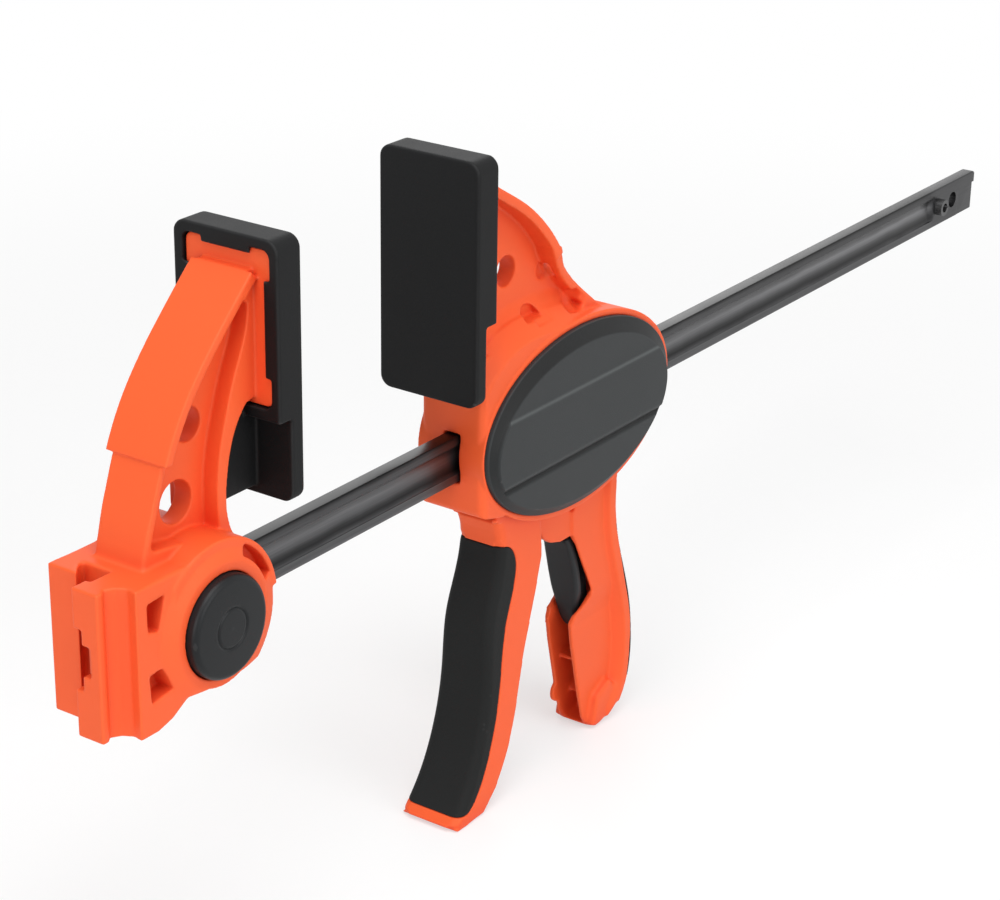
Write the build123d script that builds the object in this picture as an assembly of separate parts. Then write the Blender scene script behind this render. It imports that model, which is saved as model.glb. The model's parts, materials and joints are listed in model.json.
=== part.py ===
from build123d import *
import os

os.makedirs("parts", exist_ok=True)

# A one-handed bar clamp. X runs along the bar from the fixed jaw to the free end, Z points up to
# the pads and Y runs across. The origin is on the bar's centre line, in the plane of the fixed
# pad's clamping face. Millimetres. The moving jaw is drawn with its own pad face at x = 0.

# ---------------------------------------------------------------- driving sizes: bar
bar_height = 16.0
bar_thick = 5.2
bar_web = 2.6
groove_height = 9.6
bar_root_x = -60.5
coined_length = 40.0
bar_corner = 2.0
stop_x = 430.0
bar_free_x = stop_x + 32.5
stop_radius = 3.4
stop_bore = 1.9
stop_length = 11.0
hang_hole_x = stop_x + 12.5
hang_hole_radius = 3.3
slide_gap = 0.5

# ---------------------------------------------------------------- driving sizes: pads and plates
jaw_gap = 82.5
pad_width = 37.4
pad_top = 102.8
pad_height = 78.6
pad_corner = 4.0
pad_slab = 5.3
pad_depth = 10.4
pad_rim = 3.2
pad_edge = 0.8
rim_bottom = 49.8
pad_gap = 0.25
plate_thick = 3.6
plate_low = 53.6
lip_width = 2.0
lip_thick = 1.0
side_lip_low = 62.5
side_lip_high = 91.0
top_lip_half = 8.7
rib_half = 5.6
rib_low = 28.2
rib_high = 49.5

# ---------------------------------------------------------------- driving sizes: jaw arms
arm_half_wide = 11.0
arm_half = 9.0
arm_web_half = 3.3
arm_flange = 2.8
arm_step_z = 48.0
fin_flange = 3.3
fin_hole = (36.7, 56.4, 5.1)
arm_hole = (36.9, 32.0, 6.4)
arm_dimple = (31.0, 53.2, 5.1)
pocket_corner = 1.6
pocket_plate_gap = 2.4

# ---------------------------------------------------------------- driving sizes: fixed jaw
button_x = -35.2
button_z = -1.9
button_radius = 15.4
button_proud = 3.4
button_gap = 0.3
button_travel = 3.0
boss_radius = 18.4
boss_half = 18.0
hood_radius = 25.0
hood_half = 16.6
flare_radius = 24.0
flare_low_z = -19.0
base_half = 15.9
slot_mouth_y = 5.2
window_z = -1.2
window_high = 9.2
base_top = 20.0
base_bottom = -24.9
plunger_radius = 3.6
plunger_neck = 1.7
plunger_fit = 0.1
lock_gap = 0.2
button_skirt = 5.0
button_wall = 2.2
cap_radius = 9.0
cap_depth = 13.0

# ---------------------------------------------------------------- driving sizes: moving jaw
front_x = 12.8
front_half = 12.6
nose_round = 3.0
shoulder_slope = 6.0
nose_low = -18.6
drum_half = 13.0
drum_x = 66.6
drum_z = 0.8
drum_long = 54.5
drum_high = 33.6
badge_x = 65.6
badge_z = 1.1
badge_long = 52.6
badge_high = 31.1
badge_seat = 0.8
badge_height = 4.0
badge_gap = 0.15
bevel_depth = 1.6
far_height = 1.6
far_bevel = 0.7
bevel_width = 3.6
band_half = 12.0
band_z = 0.4
band_proud = 0.6
peg_places = [(19.5, 12.5), (19.5, -9.5), (104.0, 12.5), (104.0, -9.5)]
peg_radius = 1.8
peg_length = 4.0
strap_thick = 1.5
cavity_half = 10.5
handle_half = 5.6
handle_flange_half = 9.5
handle_wall = 1.6
handle_flange = 4.0
handle_blend = 3.4
bump = (84.2, -114.8, 4.2)
trigger_half = 3.7
part_gap = 0.3

# ---------------------------------------------------------------- driving sizes: lever
pivot_x = 35.5
pivot_z = 18.0
pivot_radius = 2.5
lever_half_top = 9.0
lever_half_low = 11.3
lever_wall = 2.0
fork_eye = 6.0
grip_depth = 1.8
grip_top = -35.5
grip_low = -124.0
nose_top = -12.2
rib_levels = (-58.0, -82.0, -104.0)
rib_thick = 1.6
rib_reach = 13.0

# ---------------------------------------------------------------- driving sizes: mechanism
plate_count = 3
drive_thick = 2.0
drive_half = 6.4
drive_top = 13.0
drive_low = -17.5
plates_x = 37.0
mid_wall_x = 63.5
mid_wall = 3.2
brake_rear_x = 86.0
brake_thick = 3.0
brake_half = 3.0
brake_head = 6.4
brake_head_high = 20.0
brake_eye = 3.4
brake_spring_z = -16.0
fulcrum_x = 77.5
fulcrum_z = 15.5
fulcrum_radius = 1.6
fulcrum_half = 9.5
drive_coil_radius = 9.4
drive_coil_wire = 1.4
drive_coil_turns = 3
drive_travel = 8.8


# ---------------------------------------------------------------- helpers
def polygon(points, radius=0.0):
    """Closed straight-sided face, with every corner rounded when a radius is given."""
    face = make_face(Polyline(*points, close=True))
    if radius:
        face = fillet(face.vertices(), radius)
    return face


def across(face, half, middle=0.0):
    """A face drawn in X-Z, thickened to both sides of the plane y = middle."""
    return Pos(0, middle, 0) * extrude(Plane.XZ * face, half, both=True)


def both_sides(face, inner, outer):
    """A face drawn in X-Z, thickened between |y| = inner and |y| = outer on each side."""
    middle = (inner + outer) / 2
    half = (outer - inner) / 2
    return across(face, half, middle) + across(face, half, -middle)


def box_between(x0, x1, y0, y1, z0, z1):
    """A box from its two opposite corners."""
    middle = Pos((x0 + x1) / 2, (y0 + y1) / 2, (z0 + z1) / 2)
    return middle * Box(abs(x1 - x0), abs(y1 - y0), abs(z1 - z0))


def rod(x, z, radius, y0, y1):
    """A round rod along Y."""
    length = y1 - y0
    return Pos(x, (y0 + y1) / 2, z) * Rot(90, 0, 0) * Cylinder(radius, length)


def disc(x, z, radius):
    """A round face drawn in X-Z."""
    return Pos(x, z) * Circle(radius)


def coil(radius, wire, length, turns):
    """A compression spring along +Z from z = 0, its wire centre on the given radius."""
    run = length - wire
    path = Helix(pitch=run / turns, height=run, radius=radius)
    start = Plane(origin=path @ 0, z_dir=path % 0)
    return Pos(0, 0, wire / 2) * sweep(start * RegularPolygon(wire / 2, 5), path, is_frenet=True)


def soften(solid, radius, keep):
    """Round the chosen edges of a solid."""
    edges = [edge for edge in solid.edges() if keep(edge)]
    return fillet(edges, radius) if edges else solid


# ---------------------------------------------------------------- bar
def bar_section():
    """The bar's I-shaped section in Y-Z."""
    half_y = bar_thick / 2
    half_z = bar_height / 2
    web = bar_web / 2
    groove = groove_height / 2
    right = [(half_y, -half_z), (half_y, -groove)]
    section = Curve() + [
        Line((-half_y, -half_z), (half_y, -half_z)),
        Line(*right),
        ThreePointArc((half_y, -groove), (web, 0), (half_y, groove)),
        Line((half_y, groove), (half_y, half_z)),
        Line((half_y, half_z), (-half_y, half_z)),
        Line((-half_y, half_z), (-half_y, groove)),
        ThreePointArc((-half_y, groove), (-web, 0), (-half_y, -groove)),
        Line((-half_y, -groove), (-half_y, -half_z)),
    ]
    return make_face(section)


def along_bar(face, x0, x1):
    """A face drawn in Y-Z, swept along X."""
    return Pos(x0, 0, 0) * extrude(Plane.YZ * face, x1 - x0)


def bar_slot(x0, x1):
    """The sliding passage that clears the bar."""
    half_y = bar_thick / 2 + slide_gap
    half_z = bar_height / 2 + slide_gap
    return box_between(x0, x1, -half_y, half_y, -half_z, half_z)


def make_bar():
    """I-section bar with a flat end that carries the stop pin, and a lock notch at its root."""
    grooved = along_bar(bar_section(), bar_root_x, bar_free_x - coined_length)
    flat = box_between(bar_free_x - coined_length, bar_free_x, -bar_thick / 2, bar_thick / 2,
                       -bar_height / 2, bar_height / 2)
    flat = soften(flat, bar_corner, lambda e: e.center().X > bar_free_x - 0.1
                  and abs(e.center().Z) > bar_height / 2 - 0.1)
    solid = grooved + flat
    solid -= rod(stop_x, 0, stop_radius, -bar_thick, bar_thick)
    solid -= rod(hang_hole_x, 0, hang_hole_radius, -bar_thick, bar_thick)
    solid -= rod(button_x, button_z, plunger_radius + plunger_fit, -bar_thick, bar_thick)
    neck = plunger_neck + plunger_fit
    solid -= box_between(bar_root_x, button_x, -bar_thick, bar_thick, button_z - neck, button_z + neck)
    return solid


def make_stop_pin():
    """Slotted roll pin through the bar near its free end."""
    half = stop_length / 2
    pin = rod(stop_x, 0, stop_radius, -half, half) - rod(stop_x, 0, stop_bore, -half, half)
    pin -= box_between(stop_x, stop_x + stop_radius, -half, half, -0.35, 0.35)
    return pin


# ---------------------------------------------------------------- pads, drawn with the face at x = 0
def pad_outline(inset, low, high, corner):
    """Rounded upright rectangle in Y-Z."""
    width = pad_width - 2 * inset
    return Pos(0, (low + high) / 2) * RectangleRounded(width, high - low, corner)


def plate_outline(gap=0.0):
    """The jaw plate's outline in Y-Z, which the pad's rim holds."""
    inset = pad_rim + pad_gap - gap
    return pad_outline(inset, plate_low - gap, pad_top - inset, pad_corner - pad_rim / 2)


def make_pad(rib):
    """Pad with its clamping face at x = 0 and its rim towards +x; a rib stands on the slab's back."""
    low = pad_top - pad_height
    pad = along_bar(pad_outline(0, low, pad_top, pad_corner), 0, pad_depth)
    pad -= box_between(pad_slab, pad_depth + 1, -pad_width, pad_width, low - 1, rim_bottom)
    pad = soften(pad, pad_edge, lambda e: e.center().X < 0.01)
    pad -= along_bar(plate_outline(pad_gap), pad_slab, pad_depth + 1)
    inner = pad_width / 2 - pad_rim
    lip_x = pad_depth - lip_thick
    lip_z = (side_lip_low + side_lip_high) / 2
    lip_run = side_lip_high - side_lip_low
    for side in (-1, 1):
        lip = Box(lip_thick, lip_width + pad_rim / 2, lip_run)
        pad += Pos(lip_x + lip_thick / 2, side * (inner - lip_width / 2 + pad_rim / 4), lip_z) * lip
    top = pad_top - pad_rim
    pad += box_between(lip_x, pad_depth, -top_lip_half, top_lip_half, top - lip_width, top + pad_rim / 2)
    return pad + across(rib, rib_half)


def make_plate():
    """The jaw's upright plate behind the pad."""
    plate = along_bar(plate_outline(), pad_slab + pad_gap, pad_slab + pad_gap + plate_thick)
    return plate


plate_back = pad_slab + pad_gap + plate_thick


# ---------------------------------------------------------------- fixed jaw, drawn mirrored in x
arm_back = Spline((11.8, 93.4), (28.0, 77.8), (43.3, 59.0), (52.5, 38.0), (58.0, 16.0))
arm_front = Spline((13.0, 55.0), (18.0, 48.3), (21.5, 37.0), (21.9, 24.0), (17.0, 14.0))
seat_x = plate_back - 0.5


def fixed_arm_face():
    """Side outline of the fixed jaw's arm: curved back, hollow front."""
    edges = [
        arm_back,
        Line(arm_back @ 1, arm_front @ 1),
        arm_front,
        Polyline(arm_front @ 0, (seat_x, 56.0), (seat_x, 93.4), arm_back @ 0),
    ]
    return make_face(Curve() + edges)


def fixed_arm_pocket():
    """The recess between the flanges of the fixed jaw's arm, narrow at its top."""
    back = Spline(*inset_points(arm_back, arm_flange, 0.08, 0.90, 6))
    wall_x = plate_back + pocket_plate_gap
    front = Spline((wall_x, 84.0), (13.4, 74.0), (17.4, 65.3), (21.6, 54.0), (24.7, 43.0), (26.0, 32.0),
                   (25.6, 20.5))
    edges = [back, Line(back @ 1, front @ 1), front, Line(front @ 0, back @ 0)]
    return make_face(Curve() + edges)


def flange_band(curve, depth):
    """Strip along the inside of a back curve, for the wider part of its flange."""
    inner = inset_points(curve, depth, 0.0, 1.0, 7)
    edges = [curve, Line(curve @ 1, inner[-1]), Spline(*inner), Line(inner[0], curve @ 0)]
    return make_face(Curve() + edges)


def fixed_rib():
    """Rib of the fixed pad: it leans on the front of the arm."""
    back = Spline(*inset_points(arm_front, pad_gap, 0.10, 0.68, 4))
    edges = [back, Polyline(back @ 1, (pad_slab - 1, (back @ 1).Y), (pad_slab - 1, (back @ 0).Y), back @ 0)]
    return make_face(Curve() + edges)


def moving_rib():
    """Rib of the moving pad: it leans on the nose of the body."""
    middle = (pad_slab - 1 + front_x - pad_gap) / 2
    return Pos(middle, (rib_low + rib_high) / 2) * Rectangle(front_x - pad_gap - pad_slab + 1, rib_high - rib_low)


def inset_points(curve, distance, first, last, count):
    """Points at one distance to the right of a curve, between two of its parameters."""
    points = []
    for step in range(count):
        place = first + (last - first) * step / (count - 1)
        along = curve % place
        points.append(curve @ place + Vector(along.Y, -along.X) * distance)
    return points


def make_arm(outline, pocket, band, holes):
    """I-section arm: a central web with a flange all round, wider along the given band."""
    arm = across(outline, arm_half) + across(band, arm_half_wide)
    for side in (-1, 1):
        depth = arm_half_wide - arm_web_half + 1
        hollow = across(pocket, depth / 2, side * (arm_web_half + depth / 2))
        upright = [edge for edge in hollow.edges().filter_by(Axis.Y) if edge.center().Z < 80]
        arm -= fillet(upright, pocket_corner)
    for x, z, radius in holes:
        arm -= rod(x, z, radius, -arm_half, arm_half)
    return arm


def connector_profile():
    """Plan of the joining end: a hooked tongue on one side and a matching slot on the other."""
    points = [
        (40.0, -base_half), (67.6, -base_half),
        (67.0, -12.5), (68.6, -9.6), (71.4, -7.9), (73.2, -9.2), (75.4, -9.2), (75.4, 0.2),
        (69.6, 0.2), (69.6, -1.6), (61.6, -1.6), (61.6, 8.6), (63.4, 8.6), (68.0, slot_mouth_y), (68.0, base_half),
        (40.0, base_half),
    ]
    return polygon(points)


def make_fixed_jaw():
    """Arm, plate, boss and joining end in one moulding, mirrored to face +x at the end."""
    band = flange_band(arm_back, arm_flange + 0.6) & Pos(40, arm_step_z + 60) * Rectangle(240, 120)
    jaw = make_arm(fixed_arm_face(), fixed_arm_pocket(), band, [arm_dimple, arm_hole])
    jaw += make_plate()

    # The joining end, cut to its plan, with its lower edge rising to the boss.
    base = extrude(connector_profile(), base_top - base_bottom)
    base = Pos(0, 0, base_bottom) * base
    centre = (-button_x, button_z)
    side_view = polygon([(80, base_bottom), (60.5, base_bottom), (54.6, -23.3), (47.5, -19.2),
                         (40, -20), (30, -20), (30, base_top + 4), (56, base_top + 4),
                         (60, base_top), (80, base_top)])
    jaw += base & across(side_view, base_half + 1)
    jaw += across(polygon([(36, -19.6), (60, -19.6), (60, base_top), (36, base_top)]), base_half)

    # Boss ring with its flared foot and the hood over the bar, all centred on the button.
    jaw += across(disc(*centre, boss_radius), boss_half)
    flare = Cone(flare_radius, boss_radius, boss_half - base_half + 0.1)
    flare = Pos(centre[0], -(boss_half + base_half) / 2, centre[1]) * Rot(90, 0, 0) * flare
    flare += mirror(flare, about=Plane.XZ)
    jaw += flare & box_between(8, 90, -boss_half, boss_half, flare_low_z, base_top)
    quarter = Pos(centre[0] - 6, centre[1] + hood_radius / 2 + 3) * Rectangle(48, hood_radius)
    jaw += across(disc(*centre, hood_radius) & quarter, hood_half)
    jaw = face_left(jaw)

    # Arc slots between ring and hood, and lightening pockets beside the joining end.
    slot_radius = (boss_radius + hood_radius) / 2 - 0.2
    slot = disc(button_x, button_z, slot_radius + 1.7) - disc(button_x, button_z, slot_radius - 1.7)
    wedge = polygon([(button_x, button_z), (button_x + 40, button_z + 14), (button_x + 40, button_z + 60),
                     (button_x + 22, button_z + 40)])
    slot = slot & wedge
    jaw -= both_sides(slot, hood_half - 5, hood_half + 1)
    upper = polygon([(-63.2, 14.4), (-56.0, 14.8), (-59.0, 5.0), (-63.0, 6.2)])
    lower = polygon([(-63.2, -6.9), (-58.2, -6.5), (-54.4, -14.2), (-62.6, -15.5)])
    jaw -= both_sides(upper, base_half - 6, base_half + 2)
    jaw -= both_sides(lower, base_half - 6, base_half + 2)

    # Stepped window through the tongue into the slot.
    jaw -= box_between(-77, -70, -2.6, 3, window_z - window_high, window_z + window_high)
    jaw -= box_between(-77, -70, -5.6, 0, window_z - window_high / 2, window_z + window_high / 2)

    # Bar passage and the button's bore.
    jaw -= bar_slot(bar_root_x - 3, 0)
    well = -boss_half + button_skirt + button_travel + 0.6
    jaw -= rod(button_x, button_z, button_radius + button_gap, -boss_half - 1, well)
    jaw -= rod(button_x, button_z, plunger_radius + plunger_fit, -boss_half, boss_half)
    jaw -= rod(button_x, button_z, cap_radius, cap_depth, boss_half + 1)
    return jaw


def face_left(solid):
    """Turn a solid drawn towards +x round to face -x."""
    return mirror(solid, about=Plane.YZ)


def make_button():
    """Shallow cup with a slightly domed face and a chamfered rim."""
    outer = -boss_half - button_proud
    inner = -boss_half + button_skirt
    cup = rod(button_x, button_z, button_radius, outer, inner)
    cup = chamfer([edge for edge in cup.edges() if edge.center().Y < outer + 0.01], 1.0)
    cup -= rod(button_x, button_z, button_radius - button_wall, outer + button_wall, inner)
    cup -= rod(button_x, button_z, 6.5, outer - 1, outer + 0.5) - rod(button_x, button_z, 5.5, outer - 1, outer + 0.5)
    cup += rod(button_x, button_z, plunger_radius + 1.2, outer + button_wall - 0.1, inner)
    cup -= rod(button_x, button_z, plunger_radius, outer + button_wall, inner)
    return cup


def make_plunger():
    """Steel dog on the button's axis: full size in the bar's hole at rest, necked further out."""
    outer = -boss_half - button_proud + button_wall
    neck_end = bar_thick / 2 - button_travel + lock_gap
    neck_start = -bar_thick / 2 - button_travel - lock_gap
    parts = rod(button_x, button_z, plunger_radius, outer, neck_start)
    parts += rod(button_x, button_z, plunger_neck, neck_start, neck_end)
    parts += rod(button_x, button_z, plunger_radius, neck_end, 9.0)
    return parts


def make_button_spring():
    """Coil between the boss and the button's cup."""
    floor = -boss_half + button_skirt + button_travel + 0.6
    roof = -boss_half - button_proud + button_wall
    spring = coil(plunger_radius + 3.6, 1.2, floor - roof, 3)
    return Pos(button_x, roof, button_z) * Rot(-90, 0, 0) * spring


def make_button_cap():
    """Cap pressed into the boss on the far side, over the plunger's end."""
    cap = rod(button_x, button_z, cap_radius, boss_half - 2.4, boss_half + 0.6)
    return chamfer([edge for edge in cap.edges() if edge.center().Y > boss_half + 0.5], 0.5)


# ---------------------------------------------------------------- moving jaw
fin_back = Spline((11.5, 96.5), (22.8, 88.4), (37.3, 79.6), (46.7, 71.9), (53.0, 65.2), (57.6, 58.8))
fin_foot = Spline((59.0, 55.0), (66.6, 47.2), (74.7, 40.3), (84.0, 33.0), (96.0, 25.0))


def fin_face():
    """Side outline of the moving jaw's fin, from the plate's top down to the drum."""
    edges = [
        fin_back,
        Polyline(fin_back @ 1, (57.0, 57.2), fin_foot @ 0),
        fin_foot,
        Polyline(fin_foot @ 1, (96.0, 6.0), (front_x, 6.0), (front_x, rim_bottom),
                 (pad_depth + pad_gap, plate_low), (seat_x, plate_low), (seat_x, 96.5), fin_back @ 0),
    ]
    return make_face(Curve() + edges)


def fin_pocket():
    """The recess between the fin's flanges, above the drum."""
    upper = Spline(*inset_points(fin_back, fin_flange, 0.10, 0.94, 6))
    lower = Spline(*inset_points(fin_foot, fin_flange, 0.06, 0.42, 4))
    inner_x = front_x + fin_flange
    edges = [
        upper,
        Line(upper @ 1, lower @ 0),
        lower,
        Polyline(lower @ 1, (62.0, 34.0), (inner_x, 34.0), (inner_x, 52.0), (plate_back + 1.2, 60.0),
                 (plate_back + 1.2, 85.0), upper @ 0),
    ]
    return make_face(Curve() + edges)


def nose_face():
    """Front of the moving jaw: flat nose, shoulder under the fin and the floor before the lever."""
    shoulder = Spline((front_x, 30.0), (26.0, 38.6), (52.0, 40.4), (76.0, 36.6), (100.0, 26.5))
    closing = Polyline((100.0, 26.5), (100.0, 0.0), (24.0, -21.5), (front_x, nose_low), (front_x, 30.0))
    return make_face(Curve() + [shoulder, closing])


def drum_face():
    """The oval drum round the mechanism."""
    return Pos(drum_x, drum_z) * Ellipse(drum_long, drum_high)


def badge_face(inset=0.0):
    return Pos(badge_x, badge_z) * Ellipse(badge_long - inset, badge_high - inset)


def handle_back():
    """The palm side of the rear handle, from the drum down."""
    return Spline((99.5, -18.0), (96.6, -34.0), (96.8, -47.0), (103.0, -69.8), (107.8, -86.2), (109.2, -97.0),
                  (108.0, -113.3), (103.4, -123.0), (96.0, -128.0))


def handle_face():
    """Side outline of the rear handle."""
    edges = [
        handle_back(),
        Polyline((96.0, -128.0), (88.0, -127.6), (84.9, -123.5), (80.8, -106.0), (77.4, -92.0),
                 (75.9, -83.0), (77.6, -80.4), (87.4, -78.0), (89.0, -75.4), (87.8, -71.0), (73.8, -47.2),
                 (63.2, -47.0), (63.2, -18.0), (99.5, -18.0)),
    ]
    return make_face(Curve() + edges)


def back_strip(width):
    """Strip of the handle's outline along its palm side."""
    curve = handle_back()
    inner = Spline(*inset_points(curve, width, 0.06, 0.97, 8))
    edges = [curve, Line(curve @ 1, inner @ 1), inner, Line(inner @ 0, curve @ 0)]
    return make_face(Curve() + edges)


def make_handle():
    """Slim channel that is open towards the lever, with a flange down its back that slopes to the sides."""
    foot = Plane.XZ.offset(handle_half - 0.1) * back_strip(handle_flange + handle_blend)
    crest = Plane.XZ.offset(handle_flange_half) * back_strip(handle_flange)
    flange = loft([foot, crest])
    return across(handle_face(), handle_half) + flange + mirror(flange, about=Plane.XZ)


def make_body():
    """The moving jaw's moulding, in its own frame with the pad face at x = 0."""
    body = make_arm(fin_face(), fin_pocket(), flange_band(fin_back, fin_flange + 0.6), [fin_hole])
    body += make_plate()
    nose = across(nose_face(), front_half)
    top_edges = [edge for edge in nose.edges() if edge.center().Z > 30 and abs(edge.center().Y) > 1]
    nose = chamfer(top_edges, shoulder_slope)
    nose = soften(nose, nose_round, lambda e: e.length > 20 and e.center().X < front_x + 0.1
                  and e.center().Z < 20)
    body += nose + across(drum_face(), drum_half)
    body += make_handle()

    # Small recesses where the web meets the shoulder and the flange.
    half_moon = disc(49.6, 37.2, 4.4) & Pos(49.6, 40.0) * Rectangle(12, 6.4)
    for recess in (half_moon, disc(70.8, 37.9, 2.9), disc(57.0, 51.8, 3.2) & fin_pocket()):
        body -= both_sides(recess, arm_web_half - 1.4, drum_half)

    # Seats for the two oval covers.
    body -= both_sides(badge_face(-badge_gap), drum_half - badge_seat, drum_half + 1)

    # Bar passage, wider round the coil, the plates and the brake lever.
    body -= bar_slot(-1, 130)
    cavity_x = 24.0
    body -= box_between(cavity_x, mid_wall_x, -cavity_half, cavity_half, -11.2, 11.2)
    bay_end = plates_x + plate_count * (drive_thick + 0.1) + drive_travel + part_gap
    bay_half = drive_half + part_gap
    body -= box_between(plates_x - 2, bay_end, -bay_half, bay_half, drive_low - part_gap, drive_top + part_gap)
    fork = polygon([(22.0, -40.0), (cavity_x, -10.0), (cavity_x + 1, 26.0), (47.0, 26.0), (52.0, 0.0),
                    (mid_wall_x - 0.5, -20.0), (mid_wall_x - 0.5, -48.0)])
    body -= across(fork, lever_half_top + 0.8)

    # Room for the lever's sides, which pass outside the handle's block when it is squeezed.
    sweep = polygon([(60, -12), (67, -22), (70, -50), (60, -50)])
    body -= both_sides(sweep, handle_half + part_gap, lever_half_top + 1.0)

    # Brake bay and the open channel of the handle.
    channel = handle_half - handle_wall
    head = brake_head + part_gap
    bay_x = mid_wall_x + mid_wall
    body -= box_between(bay_x, brake_rear_x, -head, head, -24.0, 19.5)
    bay = polygon([(bay_x, -60), (bay_x, -20), (brake_rear_x, -20), (brake_rear_x + 5, -46), (97.0, -70),
                   (102.5, -90), (101.5, -112), (93.0, -119), (70.0, -119)])
    body -= across(bay, channel)
    body += across(handle_face() & Pos(85, -97.8) * Rectangle(40, 2.4), channel + 0.2)
    body += rod(*bump, channel, handle_half)

    # Service windows behind the covers, sockets for their pegs, and the pins' holes.
    window = Pos(64.0, -3.0) * RectangleRounded(50, 28, 5)
    body -= both_sides(window, cavity_half - 6, drum_half)
    for x, z in peg_places:
        for side in (-1, 1):
            ends = sorted((side * (drum_half - badge_seat - peg_length - 0.5), side * drum_half))
            body -= rod(x, z, peg_radius + plunger_fit, *ends)
    body -= rod(pivot_x, pivot_z, pivot_radius, -drum_half, drum_half)
    body -= rod(fulcrum_x, fulcrum_z, fulcrum_radius, -fulcrum_half, fulcrum_half)
    return body - across(strap_zone(), handle_flange_half + 1)


def strap_zone():
    """Band along the back of the handle, reaching a little outside it."""
    curve = handle_back()
    outer = inset_points(curve, -1.0, 0.28, 0.84, 6)
    inner = inset_points(curve, strap_thick, 0.28, 0.84, 6)
    edges = [Spline(*outer), Line(outer[-1], inner[-1]), Spline(*inner), Line(inner[0], outer[0])]
    return make_face(Curve() + edges)


def make_backstrap():
    """Thin soft strip let into the back of the handle."""
    return across(strap_zone() & handle_face(), handle_flange_half)


def make_cover(side, height, bevel):
    """Oval cover: bevelled rim, raised band along the bar's direction and pegs behind."""
    seat = drum_half - badge_seat
    face = seat + height
    rim = face - bevel
    plane = Plane(origin=(0, 0, 0), x_dir=(1, 0, 0), z_dir=(0, -1, 0))
    cover = extrude(plane.offset(seat) * badge_face(), rim - seat)
    cover += loft([plane.offset(rim) * badge_face(), plane.offset(face) * badge_face(bevel_width)])
    band = badge_face(bevel_width + 0.8) & Pos(badge_x, band_z) * Rectangle(200, 2 * band_half)
    cover += extrude(plane.offset(face) * band, band_proud)
    for x, z in peg_places:
        cover += rod(x, z, peg_radius, -seat - 0.1, -seat + peg_length)
    return cover if side < 0 else mirror(cover, about=Plane.XZ)


# ---------------------------------------------------------------- lever and its grip
lever_front = Spline((24.8, -23.5), (28.2, -32.0), (26.2, -46.6), (21.6, -60.0), (20.0, -79.0),
                     (14.5, -105.0), (3.5, -123.4))
lever_rear = Spline((17.5, -128.3), (25.1, -120.1), (33.3, -105.2), (41.3, -76.7), (45.0, -66.0),
                    (51.5, -46.0))


def lever_face():
    """Side outline of the lever below its fork."""
    edges = [
        lever_front,
        Polyline(lever_front @ 1, (0.4, -126.8), (2.8, -128.3), lever_rear @ 0),
        lever_rear,
        Polyline(lever_rear @ 1, (51.5, -38.0), (49.5, -24.0), lever_front @ 0),
    ]
    return make_face(Curve() + edges)


def lever_width(inset=0.0):
    """The lever's widening front outline in Y-Z, from its fork down."""
    top = lever_half_top - inset
    low = lever_half_low - inset
    return polygon([(-top, 40), (top, 40), (top, -30), (low, -124), (low, -140), (-low, -140),
                    (-low, -124), (-top, -30)])


def lever_block(face, inset=0.0):
    """A side outline at the lever's full width."""
    return across(face, 20) & along_bar(lever_width(inset), -40, 90)


def behind_front(distance, depth=80.0):
    """Everything more than a distance behind the lever's front edge."""
    points = inset_points(lever_front, -distance, 0.0, 1.0, 9)
    edge = Spline(*points)
    closing = Polyline(edge @ 1, (edge @ 1) + Vector(2, -30), (depth, -160), (depth, 40),
                       (edge @ 0) + Vector(0, 40), edge @ 0)
    return make_face(Curve() + [edge, closing])


def grip_zone():
    """Side outline of the grip: in front of a back edge that is rounded at the top."""
    edge = Spline((29.0, grip_top), (34.4, -37.6), (36.6, -43.0), (35.4, -51.0), (30.6, -64.0), (27.8, -80.0),
                  (24.4, -97.0), (18.8, -111.5), (13.6, -119.8), (8.5, grip_low))
    closing = Polyline(edge @ 1, (-20, grip_low), (-20, grip_top), edge @ 0)
    return lever_face() & make_face(Curve() + [edge, closing])


def make_grip():
    """Soft sleeve round the front and the front corners of the lever."""
    sleeve = lever_block(grip_zone())
    core = lever_block(behind_front(grip_depth), grip_depth)
    return sleeve - core


def make_lever(grip):
    """Hollow lever, open behind, with a fork round the bar and a nose that pushes the plates."""
    lever = lever_block(lever_face())
    fork = polygon([(29.5, -34.0), (25.2, -23.5), (26.6, -14.0), (29.5, 14.0), (41.5, 14.0), (40.0, -11.5),
                    (49.5, -24.0), (50.5, -34.0)])
    lever += across(fork + disc(pivot_x, pivot_z, fork_eye), lever_half_top)
    hollow = behind_front(lever_wall + 1.2)
    hollow = hollow & Pos(40, -72 + 60) * Rectangle(140, 2 * 109)
    lever -= lever_block(hollow, lever_wall)
    for z in rib_levels:
        rib = lever_face() & Pos(40, z) * Rectangle(90, rib_thick)
        rib = rib - behind_front(rib_reach)
        lever += lever_block(rib, lever_wall - 0.2)
    cheek = lever_half_top - lever_wall
    lever -= box_between(15, 60, -cheek, cheek, -26.0, 30)
    lever += box_between(27.0, plates_x - part_gap, -cheek - 0.5, cheek + 0.5, -28.0, nose_top)
    lever -= rod(pivot_x, pivot_z, pivot_radius + plunger_fit, -20, 20)
    return lever - grip


def make_pivot_pin():
    """Lever pin, held in both sides of the drum under the covers."""
    half = drum_half - badge_seat - 0.2
    return rod(pivot_x, pivot_z, pivot_radius, -half, half)


# ---------------------------------------------------------------- mechanism round the bar
def make_drive_plate(index):
    """Hardened plate with a window for the bar."""
    start = plates_x + index * (drive_thick + 0.1)
    plate = box_between(start, start + drive_thick, -drive_half, drive_half, drive_low, drive_top)
    plate = fillet(plate.edges().filter_by(Axis.X), 1.2)
    return plate - bar_slot(start - 1, start + drive_thick + 1)


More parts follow.
